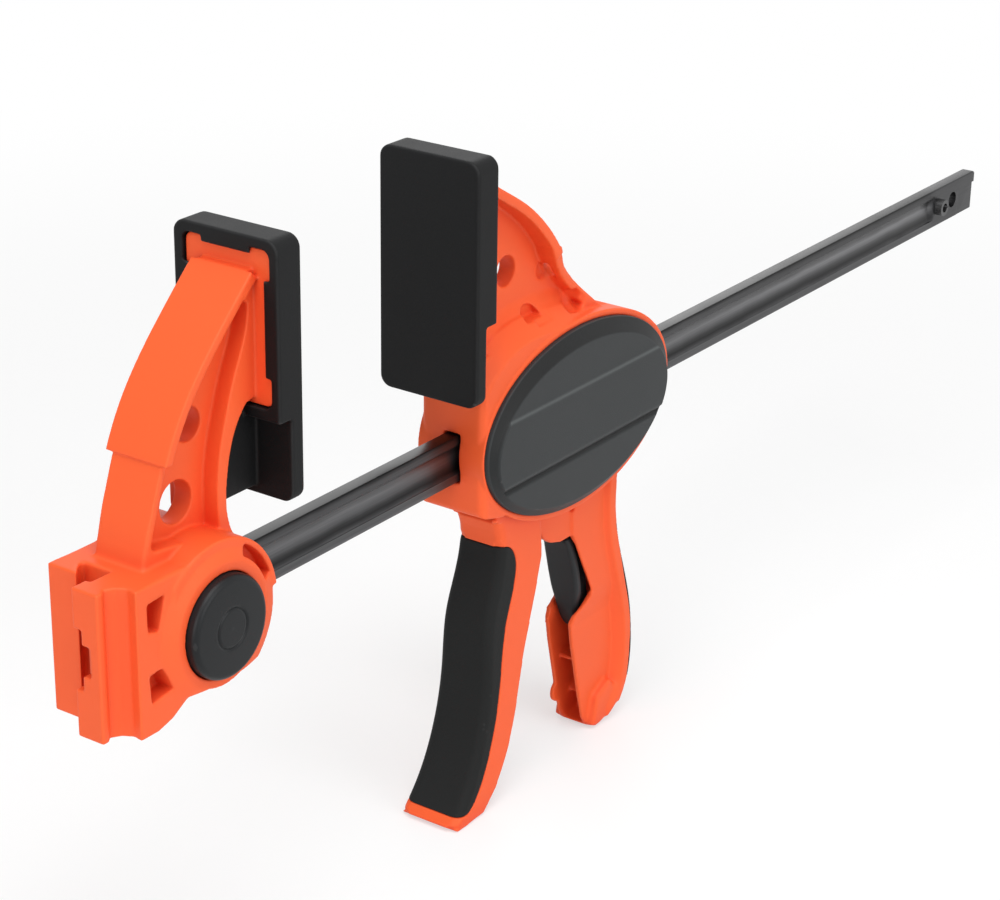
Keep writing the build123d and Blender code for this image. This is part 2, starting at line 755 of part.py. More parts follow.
def make_drive_spring():
    """Coil round the bar between the plates and the middle wall."""
    start = plates_x + plate_count * (drive_thick + 0.1) + 0.1
    spring = coil(drive_coil_radius, drive_coil_wire, mid_wall_x - start - 0.1, drive_coil_turns)
    return Pos(start, 0, 0) * Rot(0, 90, 0) * spring


def brake_tail():
    """Side outline of the brake lever: upright head and cranked tail."""
    half = brake_thick / 2
    return polygon([(fulcrum_x - half, fulcrum_z), (fulcrum_x - half - 1.8, -27.4), (84.4, -71.5),
                    (87.3, -70.8), (fulcrum_x + half - 1.6, -26.6), (fulcrum_x + half, fulcrum_z)])


def make_brake_lever():
    """Steel plate that hangs from its pin, straddles the bar and carries the trigger."""
    lever = across(brake_tail(), brake_half)
    head = brake_tail() & Pos(fulcrum_x, 0) * Rectangle(30, 2 * brake_head_high)
    lever += across(head, brake_head) + across(disc(fulcrum_x, fulcrum_z, brake_eye), brake_head)
    lever -= bar_slot(60, 95)
    return lever - rod(fulcrum_x, fulcrum_z, fulcrum_radius + plunger_fit, -20, 20)


def make_fulcrum_pin():
    return rod(fulcrum_x, fulcrum_z, fulcrum_radius, -fulcrum_half, fulcrum_half)


def make_trigger():
    """Finger trigger pushed over the brake lever's tail."""
    face = Spline((68.2, -44.0), (72.0, -56.0), (76.8, -68.0), (80.8, -78.0), (84.6, -87.5))
    closing = Polyline((84.6, -87.5), (87.2, -88.0), (89.8, -83.0), (88.4, -71.0), (80.4, -52.0), (77.6, -43.0),
                       (68.2, -44.0))
    trigger = across(make_face(Curve() + [face, closing]), trigger_half)
    front = [edge for edge in trigger.edges() if edge.length > 36 and abs(edge.center().Y) > 1]
    trigger = chamfer(front, 1.0)
    return trigger - across(brake_tail(), brake_half)


def make_brake_spring():
    """Small coil that tilts the brake lever against the bar."""
    start = fulcrum_x + brake_thick / 2 - 0.9
    length = brake_rear_x - start - 0.1
    return Pos(start, 0, brake_spring_z) * Rot(0, 90, 0) * coil(2.9, 0.9, length, 2)


# ---------------------------------------------------------------- parts and export
def moving(solid):
    """Place a moving-jaw solid at the jaw's rest position."""
    return Pos(jaw_gap, 0, 0) * solid


grip = make_grip()
nodes = {
    "bar": make_bar(),
    "end_stop_pin": make_stop_pin(),
    "fixed_jaw": make_fixed_jaw(),
    "fixed_pad": face_left(make_pad(fixed_rib())),
    "push_button": make_button(),
    "lock_plunger": make_plunger(),
    "button_spring": make_button_spring(),
    "button_cap": make_button_cap(),
    "moving_jaw_body": moving(make_body()),
    "moving_pad": moving(make_pad(moving_rib())),
    "badge_cover_near": moving(make_cover(-1, badge_height, bevel_depth)),
    "badge_cover_far": moving(make_cover(1, far_height, far_bevel)),
    "handle_backstrap": moving(make_backstrap()),
    "pump_lever": moving(make_lever(grip)),
    "lever_grip": moving(grip),
    "lever_pivot_pin": moving(make_pivot_pin()),
    "drive_spring": moving(make_drive_spring()),
    "brake_lever": moving(make_brake_lever()),
    "brake_fulcrum_pin": moving(make_fulcrum_pin()),
    "brake_spring": moving(make_brake_spring()),
    "release_trigger": moving(make_trigger()),
}
for index in range(plate_count):
    nodes[f"drive_plate_{index + 1}"] = moving(make_drive_plate(index))
for name, solid in nodes.items():
    export_step(solid, f"parts/{name}.step")
    print(name, round(solid.volume), len(solid.solids()))
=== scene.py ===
import json

import bmesh
import bpy
import numpy as np
from mathutils import Matrix, Vector


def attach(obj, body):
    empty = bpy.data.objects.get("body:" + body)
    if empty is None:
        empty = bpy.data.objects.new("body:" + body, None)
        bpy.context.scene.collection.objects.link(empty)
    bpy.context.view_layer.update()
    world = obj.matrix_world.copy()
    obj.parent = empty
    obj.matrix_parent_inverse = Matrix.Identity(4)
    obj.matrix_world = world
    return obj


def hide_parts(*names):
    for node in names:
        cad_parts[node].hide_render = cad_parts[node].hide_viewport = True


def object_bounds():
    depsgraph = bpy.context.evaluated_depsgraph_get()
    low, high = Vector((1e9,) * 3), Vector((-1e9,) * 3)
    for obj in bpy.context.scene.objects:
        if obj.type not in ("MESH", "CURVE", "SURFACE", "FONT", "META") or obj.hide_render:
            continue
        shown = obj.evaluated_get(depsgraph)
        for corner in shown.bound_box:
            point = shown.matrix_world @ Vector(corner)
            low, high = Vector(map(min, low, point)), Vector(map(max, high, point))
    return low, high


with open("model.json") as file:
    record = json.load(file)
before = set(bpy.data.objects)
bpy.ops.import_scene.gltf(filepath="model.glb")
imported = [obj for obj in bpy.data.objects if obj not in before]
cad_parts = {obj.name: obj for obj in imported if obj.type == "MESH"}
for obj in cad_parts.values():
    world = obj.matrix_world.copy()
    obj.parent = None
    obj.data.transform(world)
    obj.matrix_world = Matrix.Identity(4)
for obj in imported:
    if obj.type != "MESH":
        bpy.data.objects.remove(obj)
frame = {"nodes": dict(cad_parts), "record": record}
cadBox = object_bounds()
nodes = frame["nodes"]
bodyOf = {n: b for b, members in frame["record"]["behaviour"]["bodies"].items() for n in members}
scene = bpy.context.scene
mm = 0.001   # a millimetre, in metres
print("stage: packed model loaded,", len(nodes), "nodes")

view = {
    "place": (-0.52978, -0.45738, 0.32762),   # metres, in the part's frame
    "right": (0.57906, -0.81517, 0.01372),
    "down": (-0.30805, -0.23434, -0.92206),
    "ahead": (0.75485, 0.52970, -0.38681),
    "lens": 95.4965, "sensor": 36.0,          # millimetres
    "clip": (0.05, 30.0),                     # nearest and farthest seen, metres
}


def makeCamera(v):
    cameraData = bpy.data.cameras.new("camera")
    camera = bpy.data.objects.new("camera", cameraData)
    scene.collection.objects.link(camera)
    right, up, back = Vector(v["right"]), -Vector(v["down"]), -Vector(v["ahead"])
    turn = Matrix((right, up, back)).transposed()   # the three axes stand in the columns
    camera.matrix_world = Matrix.Translation(v["place"]) @ turn.to_4x4()
    cameraData.lens = v["lens"]
    cameraData.sensor_width = v["sensor"]
    cameraData.clip_start, cameraData.clip_end = v["clip"]
    scene.camera = camera


makeCamera(view)

# shader groups, each built once and used by several materials


def newGroup(name, inputs, outputs):
    group = bpy.data.node_groups.new(name, "ShaderNodeTree")
    for label, kind, start in inputs:
        socket = group.interface.new_socket(label, in_out="INPUT", socket_type=kind)
        socket.default_value = start
    for label, kind in outputs:
        group.interface.new_socket(label, in_out="OUTPUT", socket_type=kind)
    entry = group.nodes.new("NodeGroupInput")
    leave = group.nodes.new("NodeGroupOutput")
    return group, entry, leave


def add(tree, kind, links=None, **values):
    # one node: plain values are set by attribute or socket name, links by socket name
    node = tree.nodes.new(kind)
    for key, value in values.items():
        if hasattr(node, key):
            setattr(node, key, value)
        else:
            node.inputs[key].default_value = value
    for key, source in (links or {}).items():
        tree.links.new(source, node.inputs[key])
    return node


def mathNode(tree, operation, a, b=None, c=None, clamp=False):
    node = tree.nodes.new("ShaderNodeMath")
    node.operation = operation
    node.use_clamp = clamp
    for slot, value in enumerate((a, b, c)):
        if value is None:
            continue
        if isinstance(value, (int, float)):
            node.inputs[slot].default_value = value
        else:
            tree.links.new(value, node.inputs[slot])
    return node.outputs[0]


def mixColour(tree, factor, a, b, blend="MIX"):
    node = tree.nodes.new("ShaderNodeMix")
    node.data_type = "RGBA"
    node.blend_type = blend
    for slot, value in ((0, factor), (6, a), (7, b)):
        if isinstance(value, (int, float)):
            node.inputs[slot].default_value = value
        elif isinstance(value, tuple):
            node.inputs[slot].default_value = (*value[:3], 1.0)
        else:
            tree.links.new(value, node.inputs[slot])
    return node.outputs[2]


def buildMouldGroup():
    # moulded surface: cloudy tint, fine sand grain in the height and a little gloss change
    group, entry, leave = newGroup(
        "mouldedSurface",
        [("Colour", "NodeSocketColor", (1, 1, 1, 1)), ("Tint", "NodeSocketFloat", 0.08),
         ("Grain Scale", "NodeSocketFloat", 1800.0), ("Roughness", "NodeSocketFloat", 0.45),
         ("Gloss Change", "NodeSocketFloat", 0.06)],
        [("Colour", "NodeSocketColor"), ("Roughness", "NodeSocketFloat"), ("Height", "NodeSocketFloat")])
    where = add(group, "ShaderNodeTexCoord").outputs["Object"]
    cloud = add(group, "ShaderNodeTexNoise", {"Vector": where}, Scale=38.0, Detail=3.0, Roughness=0.55)
    grain = add(group, "ShaderNodeTexNoise", {"Vector": where, "Scale": entry.outputs["Grain Scale"]},
                Detail=2.0, Roughness=0.6)
    drift = mathNode(group, "SUBTRACT", cloud.outputs["Fac"], 0.5)   # the noise's middle is 0.5
    lift = mathNode(group, "MULTIPLY_ADD", drift, entry.outputs["Tint"], 1.0)
    shade = add(group, "ShaderNodeCombineColor", {"Red": lift, "Green": lift, "Blue": lift})
    colour = mixColour(group, 1.0, entry.outputs["Colour"], shade.outputs[0], "MULTIPLY")
    gloss = mathNode(group, "MULTIPLY_ADD", drift,
                     entry.outputs["Gloss Change"], entry.outputs["Roughness"])
    group.links.new(colour, leave.inputs["Colour"])
    group.links.new(gloss, leave.inputs["Roughness"])
    group.links.new(grain.outputs["Fac"], leave.inputs["Height"])
    return group


def buildEdgeWearSheenGroup():
    # rubbed edges and painted highlight where edges catch light: pointiness above a threshold, broken up by
    # noise
    group, entry, leave = newGroup(
        "rubbedEdgeAndSheen",
        [("Threshold", "NodeSocketFloat", 0.52), ("Softness", "NodeSocketFloat", 0.03),
         ("Amount", "NodeSocketFloat", 0.4)],
        [("Mask", "NodeSocketFloat")])
    bend = add(group, "ShaderNodeNewGeometry").outputs["Pointiness"]
    where = add(group, "ShaderNodeTexCoord").outputs["Object"]
    patch = add(group, "ShaderNodeTexNoise", {"Vector": where}, Scale=150.0, Detail=4.0)
    above = mathNode(group, "SUBTRACT", bend, entry.outputs["Threshold"])
    above = mathNode(group, "DIVIDE", above, entry.outputs["Softness"], clamp=True)
    mask = mathNode(group, "MULTIPLY", above, patch.outputs["Fac"])
    mask = mathNode(group, "MULTIPLY", mask, entry.outputs["Amount"], clamp=True)
    group.links.new(mask, leave.inputs["Mask"])
    return group


mouldGroup = buildMouldGroup()
edgeWearSheenGroup = buildEdgeWearSheenGroup()


def placeGroup(tree, group, **values):
    node = tree.nodes.new("ShaderNodeGroup")
    node.node_tree = group
    for key, value in values.items():
        node.inputs[key.replace("_", " ")].default_value = value
    return node


def newMaterial(name):
    material = bpy.data.materials.new(name)
    material.use_nodes = True
    tree = material.node_tree
    shader = tree.nodes["Principled BSDF"]
    return material, tree, shader


def mouldedMaterial(name, f):
    material, tree, shader = newMaterial(name)
    skin = placeGroup(tree, mouldGroup, Colour=(*f["colour"], 1.0), Tint=f["tint"],
                      Grain_Scale=f["grainScale"], Roughness=f["roughness"], Gloss_Change=f["glossChange"])
    # lighter edges: partly rubbed wear, partly painted highlight
    edge = placeGroup(tree, edgeWearSheenGroup, Threshold=f["edgeStart"], Softness=0.05, Amount=f["edgeAmount"])
    colour = mixColour(tree, edge.outputs["Mask"], skin.outputs["Colour"], f["edgeWearSheenColour"])
    if "coverShadeColour" in f:   # the covers' painted shade and highlight value: above zero it darkens (painted shade), below zero it lightens (painted highlight)
        shade = add(tree, "ShaderNodeAttribute", attribute_name="paintedShadeHighlight").outputs["Fac"]
        paintedHighlight = mathNode(tree, "MULTIPLY", shade, -1.0)
        colour = mixColour(tree, mathNode(tree, "MAXIMUM", shade, 0.0), colour, f["coverShadeColour"])
        colour = mixColour(tree, mathNode(tree, "MAXIMUM", paintedHighlight, 0.0), colour, f["edgeWearSheenColour"])
    if "hollowShade" in f:   # painted shade: deeper red in hollows and inner corners, where an ambient occlusion node finds them shut in
        around = add(tree, "ShaderNodeAmbientOcclusion", samples=8, Distance=f["hollowShadeReach"])
        shadeShare = mathNode(tree, "SUBTRACT", 1.0, around.outputs["AO"])
        shadeShare = mathNode(tree, "MULTIPLY", shadeShare, f["hollowShade"], clamp=True)
        colour = mixColour(tree, shadeShare, colour, f["hollowShadeColour"])
    bump = add(tree, "ShaderNodeBump", {"Height": skin.outputs["Height"]},
               Strength=f["grain"], Distance=0.0004)
    tree.links.new(colour, shader.inputs["Base Color"])
    tree.links.new(skin.outputs["Roughness"], shader.inputs["Roughness"])
    tree.links.new(bump.outputs["Normal"], shader.inputs["Normal"])
    shader.inputs["Specular IOR Level"].default_value = f["specular"]
    return material


# grain is the bump's strength; the hollow shade amount is how far painted shade takes a hollow to its
# darker red, within the given reach in metres
finishes = {
    "orangeNylon": {"colour": (0.80, 0.104, 0.025), "tint": 0.05, "grainScale": 1500.0, "roughness": 0.50,
                    "glossChange": 0.06, "grain": 0.08, "edgeStart": 0.53, "edgeAmount": 0.30,
                    "edgeWearSheenColour": (0.95, 0.22, 0.09), "specular": 0.24, "hollowShade": 1.0, "hollowShadeReach": 0.010,
                    "hollowShadeColour": (0.72, 0.058, 0.018)},
    "padRubber": {"colour": (0.0030, 0.0032, 0.0036), "tint": 0.25, "grainScale": 2200.0, "roughness": 0.60,
                  "glossChange": 0.10, "grain": 0.16, "edgeStart": 0.52, "edgeAmount": 0.6,
                  "edgeWearSheenColour": (0.08, 0.08, 0.082), "specular": 0.20},
    "gripRubber": {"colour": (0.0105, 0.0110, 0.0110), "tint": 0.25, "grainScale": 2600.0,
                   "roughness": 0.66, "glossChange": 0.10, "grain": 0.30, "edgeStart": 0.52,
                   "edgeAmount": 0.4, "edgeWearSheenColour": (0.04, 0.04, 0.041), "specular": 0.14},
    "greyPlastic": {"colour": (0.022, 0.0245, 0.0255), "tint": 0.10, "grainScale": 3000.0,
                    "roughness": 0.48, "glossChange": 0.08, "grain": 0.20, "edgeStart": 0.53,
                    "edgeAmount": 0.45, "edgeWearSheenColour": (0.13, 0.14, 0.14), "specular": 0.25,
                    "coverShadeColour": (0.003, 0.0034, 0.0036)},
    "triggerPlastic": {"colour": (0.014, 0.0155, 0.017), "tint": 0.15, "grainScale": 2600.0,
                       "roughness": 0.50, "glossChange": 0.08, "grain": 0.12, "edgeStart": 0.53,
                       "edgeAmount": 0.3, "edgeWearSheenColour": (0.06, 0.06, 0.06), "specular": 0.22},
    "buttonPlastic": {"colour": (0.0065, 0.0075, 0.0085), "tint": 0.12, "grainScale": 2600.0,
                      "roughness": 0.42, "glossChange": 0.08, "grain": 0.12, "edgeStart": 0.53,
                      "edgeAmount": 0.4, "edgeWearSheenColour": (0.06, 0.06, 0.06), "specular": 0.22},
}
mouldings = {name: mouldedMaterial(name, f) for name, f in finishes.items()}


def ramped(tree, value, low, high):
    # 0 at low, 1 at high, held beyond
    node = add(tree, "ShaderNodeMapRange", {"Value": value})
    node.inputs["From Min"].default_value = low
    node.inputs["From Max"].default_value = high
    return node.outputs[0]


bandSpan = 8.0    # millimetres above and below the bar's axis that the bands cover
bandBlue = 1.03   # the bands' blue over their red and green


def shadingBandRamp(tree, share, paintedShadingBands):
    # painted light and shade as grey tones by height: a list of (height in millimetres, tone)
    ramp = add(tree, "ShaderNodeValToRGB", {"Fac": share})
    stops = ramp.color_ramp.elements
    for place, tone in paintedShadingBands:
        stop = stops.new((place + bandSpan) / (2.0 * bandSpan))
        stop.color = (tone, tone, tone * bandBlue, 1.0)
    stops.remove(stops[0])
    stops.remove(stops[-1])
    return ramp.outputs["Color"]


def metalMaterial(name, f):
    # steel with streaks along its length: noise stretched by a Mapping node; painted light and shade bands
    # tint it by height
    material, tree, shader = newMaterial(name)
    where = add(tree, "ShaderNodeTexCoord").outputs["Object"]
    stretch = add(tree, "ShaderNodeMapping", {"Vector": where}, Scale=f["stretch"])
    streak = add(tree, "ShaderNodeTexNoise", {"Vector": stretch.outputs[0]}, Scale=f["streakScale"],
                 Detail=4.0, Roughness=0.55)
    cloud = add(tree, "ShaderNodeTexNoise", {"Vector": where}, Scale=60.0, Detail=3.0)
    # lighter edges: partly rubbed wear, partly painted highlight
    edge = placeGroup(tree, edgeWearSheenGroup, Threshold=0.52, Softness=0.04, Amount=f["edgeAmount"])
    colour = mixColour(tree, streak.outputs["Fac"], f["dark"], f["light"])
    if "paintedShadingBands" in f:
        # painted light and shade by height on the bar, blended towards the far bands and the flat end
        axes = add(tree, "ShaderNodeSeparateXYZ", {"Vector": where}).outputs
        drift = mathNode(tree, "SUBTRACT", cloud.outputs["Fac"], 0.5)
        height = mathNode(tree, "MULTIPLY_ADD", drift, f["wobble"], axes["Z"])
        share = ramped(tree, height, -bandSpan * mm, bandSpan * mm)
        near, far = shadingBandRamp(tree, share, f["paintedShadingBands"]), shadingBandRamp(tree, share, f["farPaintedShadingBands"])
        paintedBandTone = mixColour(tree, ramped(tree, axes["X"], *f["farFrom"]), near, far)
        paintedBandTone = mixColour(tree, ramped(tree, axes["X"], *f["coinedFrom"]), paintedBandTone, f["coined"])
        colour = mixColour(tree, 1.0, colour, paintedBandTone, "MULTIPLY")
    colour = mixColour(tree, edge.outputs["Mask"], colour, f["edgeWearSheenColour"])
    rough = mathNode(tree, "MULTIPLY_ADD", cloud.outputs["Fac"], f["roughChange"], f["roughness"])
    bump = add(tree, "ShaderNodeBump", {"Height": streak.outputs["Fac"]},
               Strength=f["bump"], Distance=0.0002)
    tree.links.new(colour, shader.inputs["Base Color"])
    tree.links.new(rough, shader.inputs["Roughness"])
    tree.links.new(bump.outputs["Normal"], shader.inputs["Normal"])
    shader.inputs["Metallic"].default_value = f["metallic"]
    return material


metals = {
    "barSteel": {"stretch": (0.02, 1.0, 1.0), "streakScale": 1500.0, "dark": (0.62, 0.62, 0.63),
                 "light": (1.32, 1.32, 1.32), "edgeAmount": 0.15, "edgeWearSheenColour": (0.20, 0.20, 0.205),
                 "roughChange": 0.10, "roughness": 0.28, "bump": 0.04, "metallic": 0.9,
                 # tone of the flat end, and metres by which noise shifts the bands
                 "coined": (0.045, 0.045, 0.047), "wobble": 0.0012,
                 # height on the bar in millimetres, tone: painted highlight along the middle, painted shade
                 # in the groove and at the top edge
                 "paintedShadingBands": [(-7.9, 0.126), (-6.6, 0.085), (-4.9, 0.085), (-4.2, 0.044), (-3.4, 0.019),
                           (-2.2, 0.037), (-1.0, 0.081), (0.2, 0.111), (1.5, 0.130), (3.0, 0.081),
                           (5.0, 0.068), (6.4, 0.063), (7.3, 0.030), (7.75, 0.015), (7.95, 0.016)],
                 # towards the hang hole the painted highlight along the middle narrows and the rest is
                 # painted darker
                 "farPaintedShadingBands": [(-7.9, 0.075), (-6.6, 0.064), (-4.9, 0.070), (-4.2, 0.034), (-3.4, 0.016),
                              (-2.2, 0.034), (-1.0, 0.073), (0.2, 0.147), (1.2, 0.187), (2.1, 0.115),
                              (3.0, 0.057), (5.0, 0.042), (6.4, 0.037), (7.3, 0.015), (7.75, 0.008),
                              (7.95, 0.012)],
                 # metres along the bar over which the far painted bands and the flat end's tone come in
                 "farFrom": (0.18, 0.33), "coinedFrom": (0.420, 0.427)},
    "pinSteel": {"stretch": (1.0, 0.1, 1.0), "streakScale": 1600.0, "dark": (0.25, 0.25, 0.26),
                 "light": (0.42, 0.42, 0.43), "edgeAmount": 0.4, "edgeWearSheenColour": (0.7, 0.7, 0.7),
                 "roughChange": 0.15, "roughness": 0.25, "bump": 0.10, "metallic": 1.0},
    "stopSteel": {"stretch": (1.0, 0.1, 1.0), "streakScale": 1600.0, "dark": (0.035, 0.035, 0.037),
                  "light": (0.075, 0.075, 0.078), "edgeAmount": 0.5, "edgeWearSheenColour": (0.22, 0.22, 0.22),
                  "roughChange": 0.15, "roughness": 0.28, "bump": 0.10, "metallic": 0.9},
    "plateSteel": {"stretch": (1.0, 1.0, 0.1), "streakScale": 1200.0, "dark": (0.16, 0.16, 0.17),
                   "light": (0.30, 0.30, 0.31), "edgeAmount": 0.4, "edgeWearSheenColour": (0.6, 0.6, 0.6),
                   "roughChange": 0.15, "roughness": 0.30, "bump": 0.12, "metallic": 1.0},
}
steels = {name: metalMaterial(name, f) for name, f in metals.items()}
print("stage: materials built")


def dress(obj, material):
    obj.data.materials.clear()
    obj.data.materials.append(material)


cadJoin = 2e-6    # metres; corner points of the solids nearer than this are made one
ringJoin = 1e-7   # the same for the shapes made here
relaxing = 0.5    # share of the way to its neighbours' mean that a point moves in one relaxing round
softWeights = ((0.0, 1.0), (0.5, 0.75), (0.7, 0.5), (0.85, 0.25))   # from this share of the radius, weight


def addObject(label, mesh):
    piece = bpy.data.objects.new(label, mesh)
    scene.collection.objects.link(piece)
    return piece


def mergedCopy(name, label):
    # the node's triangles joined at their corners, as a new object at the origin
    mesh = nodes[name].data.copy()
    mesh.name = label
    work = bmesh.new()
    work.from_mesh(mesh)
    bmesh.ops.remove_doubles(work, verts=work.verts, dist=cadJoin)
    work.to_mesh(mesh)
    work.free()
    return addObject(label, mesh)


def bake(piece):
    # the modifiers' result becomes the piece's own mesh
    bpy.context.view_layer.update()
    settled = bpy.data.meshes.new_from_object(piece.evaluated_get(bpy.context.evaluated_depsgraph_get()))
    piece.modifiers.clear()
    piece.data = settled


def standFor(piece, material, *names):
    # the piece takes the place and the body of the first node and gets the given material; the nodes are
    # hidden
    dress(piece, material)
    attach(piece, bodyOf[names[0]])
    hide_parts(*names)
    print("  ", piece.name, len(piece.data.polygons), "faces")
    return piece


def solidMesh(label, points, faces, join=None, angle=None):
    # object from points and faces: smooth, normals outward, corners nearer than join made one
    mesh = bpy.data.meshes.new(label)
    mesh.from_pydata(points, [], faces)
    work = bmesh.new()
    work.from_mesh(mesh)
    if join:
        bmesh.ops.remove_doubles(work, verts=work.verts, dist=join)
    bmesh.ops.recalc_face_normals(work, faces=work.faces)
    for face in work.faces:
        face.smooth = True
    work.to_mesh(mesh)
    work.free()
    if angle:
        mesh.set_sharp_from_angle(angle=angle)
    return addObject(label, mesh)


def gridFaces(index):
    # the four corners of each cell in a grid of point numbers
    cells = [index[:-1, :-1], index[1:, :-1], index[1:, 1:], index[:-1, 1:]]
    return np.stack(cells, axis=-1).reshape(-1, 4)


def tube(label, points, caps=(0, -1), angle=None):
    # rings of points (ring, point, xyz) joined by quads; caps closes the first and last ring with one face
    rings, count = points.shape[:2]
    index = np.arange(rings * count).reshape(rings, count)
    faces = gridFaces(np.hstack([index, index[:, :1]])).tolist() + [index[row].tolist() for row in caps]
    return solidMesh(label, points.reshape(-1, 3).tolist(), faces, join=ringJoin, angle=angle)


def beam(label, edges, angle=None):
    # closed solid from its long edges, each a line of points (x, y, z) in millimetres
    return tube(label, np.stack(edges, axis=1) * mm, angle=angle)


def easeStep(t):
    # 0 below 0, 1 above 1, smooth between: 3t^2 - 2t^3
    t = np.clip(t, 0.0, 1.0)
    return t * t * (3.0 - 2.0 * t)


def turned(label, profile, centre, steps, angle=None):
    # a profile of (radius, y) pairs turned about the axis along Y through centre (x, z)
    turn = np.linspace(0.0, 2.0 * np.pi, steps, endpoint=False)
    radius, depth = np.array(profile).T
    x = centre[0] + radius[:, None] * np.cos(turn)
    z = centre[1] + radius[:, None] * np.sin(turn)
    y = np.broadcast_to(depth[:, None], x.shape)
    return tube(label, np.stack([x, y, z], axis=-1), caps=(), angle=angle)


def sculpt(piece, steps):
    # solids joined to a piece (UNION) or taken out of it (DIFFERENCE), one after the other
    for operation, tool in steps:
        carve = piece.modifiers.new("carve", "BOOLEAN")
        carve.operation = operation
        carve.solver = "EXACT"
        carve.object = tool
    bake(piece)
    for _, tool in steps:
        bpy.data.objects.remove(tool)


def softZone(piece, centre, radius, rounds):
    # extra relaxing round an axis along Y, in millimetres, weaker in steps towards the radius
    count = len(piece.data.vertices)
    place = np.empty(count * 3)
    piece.data.vertices.foreach_get("co", place)
    place = place.reshape(-1, 3)
    far = np.hypot(place[:, 0] - centre[0] * mm, place[:, 2] - centre[1] * mm) / (radius * mm)
    group = piece.vertex_groups.new(name="softZone")
    for low, weight in softWeights:
        ring = np.nonzero((far >= low) & (far < 1.0))[0]
        group.add(ring.tolist(), weight, "REPLACE")
    relax = piece.modifiers.new("relaxZone", "SMOOTH")
    relax.factor = relaxing
    relax.iterations = rounds
    relax.vertex_group = group.name
    bake(piece)
    piece.vertex_groups.clear()


def moulded(name, label, material, voxel, rounds, most, steps=(), zones=()):
    # soft-cornered skin of a node: its solid on a fine cell grid, relaxed, then thinned where it is flat
    piece = mergedCopy(name, label)
    if steps:
        sculpt(piece, steps)
    cells = piece.modifiers.new("cells", "REMESH")
    cells.mode = "VOXEL"
    cells.voxel_size = voxel
    cells.use_smooth_shade = True
    relax = piece.modifiers.new("relax", "SMOOTH")
    relax.factor = relaxing
    relax.iterations = rounds
    bake(piece)
    for centre, radius, more in zones:
        softZone(piece, centre, radius, more)
    triangles = 2 * len(piece.data.polygons)
    if triangles > most:
        thin = piece.modifiers.new("thin", "DECIMATE")
        thin.ratio = most / triangles
        bake(piece)
    return standFor(piece, material, name)


def column(label, levels, shift=0.0, side=1.0):
    # upright solid with a rectangle at each level (z, x from, x to, y from, y to), millimetres
    z, x0, x1, y0, y1 = (np.array(c, dtype=float) for c in zip(*levels))
    corners = [(x0, y0), (x1, y0), (x1, y1), (x0, y1)]
    return beam(label, [np.stack([x + shift, y * side, z], axis=-1) for x, y in corners])


def box(label, x, y, z, shift=0.0):
    # closed box between two values of each axis, millimetres
    return column(label, [(level, *x, *y) for level in z], shift)


def slab(label, outline, y, shift=0.0):
    # closed outline in X-Z between two values of y, millimetres
    flat = np.array(outline, dtype=float)
    rings = [np.stack([flat[:, 0] + shift, np.full(len(flat), h), flat[:, 1]], axis=-1) for h in y]
    return tube(label, np.array(rings) * mm)


def dent(label, centre, radius, y, side=1.0, shift=0.0):
    # lens that digs a round hollow: a quarter ellipse from y[0] out to y[1], turned about Y, with a lid
    turn = np.linspace(0.0, np.pi / 2, 9)
    profile = [(radius * mm * np.sin(t), side * mm * (y[1] + (y[0] - y[1]) * np.cos(t))) for t in turn]
    profile.append((0.0, side * mm * (y[1] + 0.001)))   # the lid is a hair's breadth off flat
    return turned(label, profile, ((centre[0] + shift) * mm, centre[1] * mm), 40)


jawShift = 82.5   # millimetres from the fixed pad's face to the moving pad's face at rest

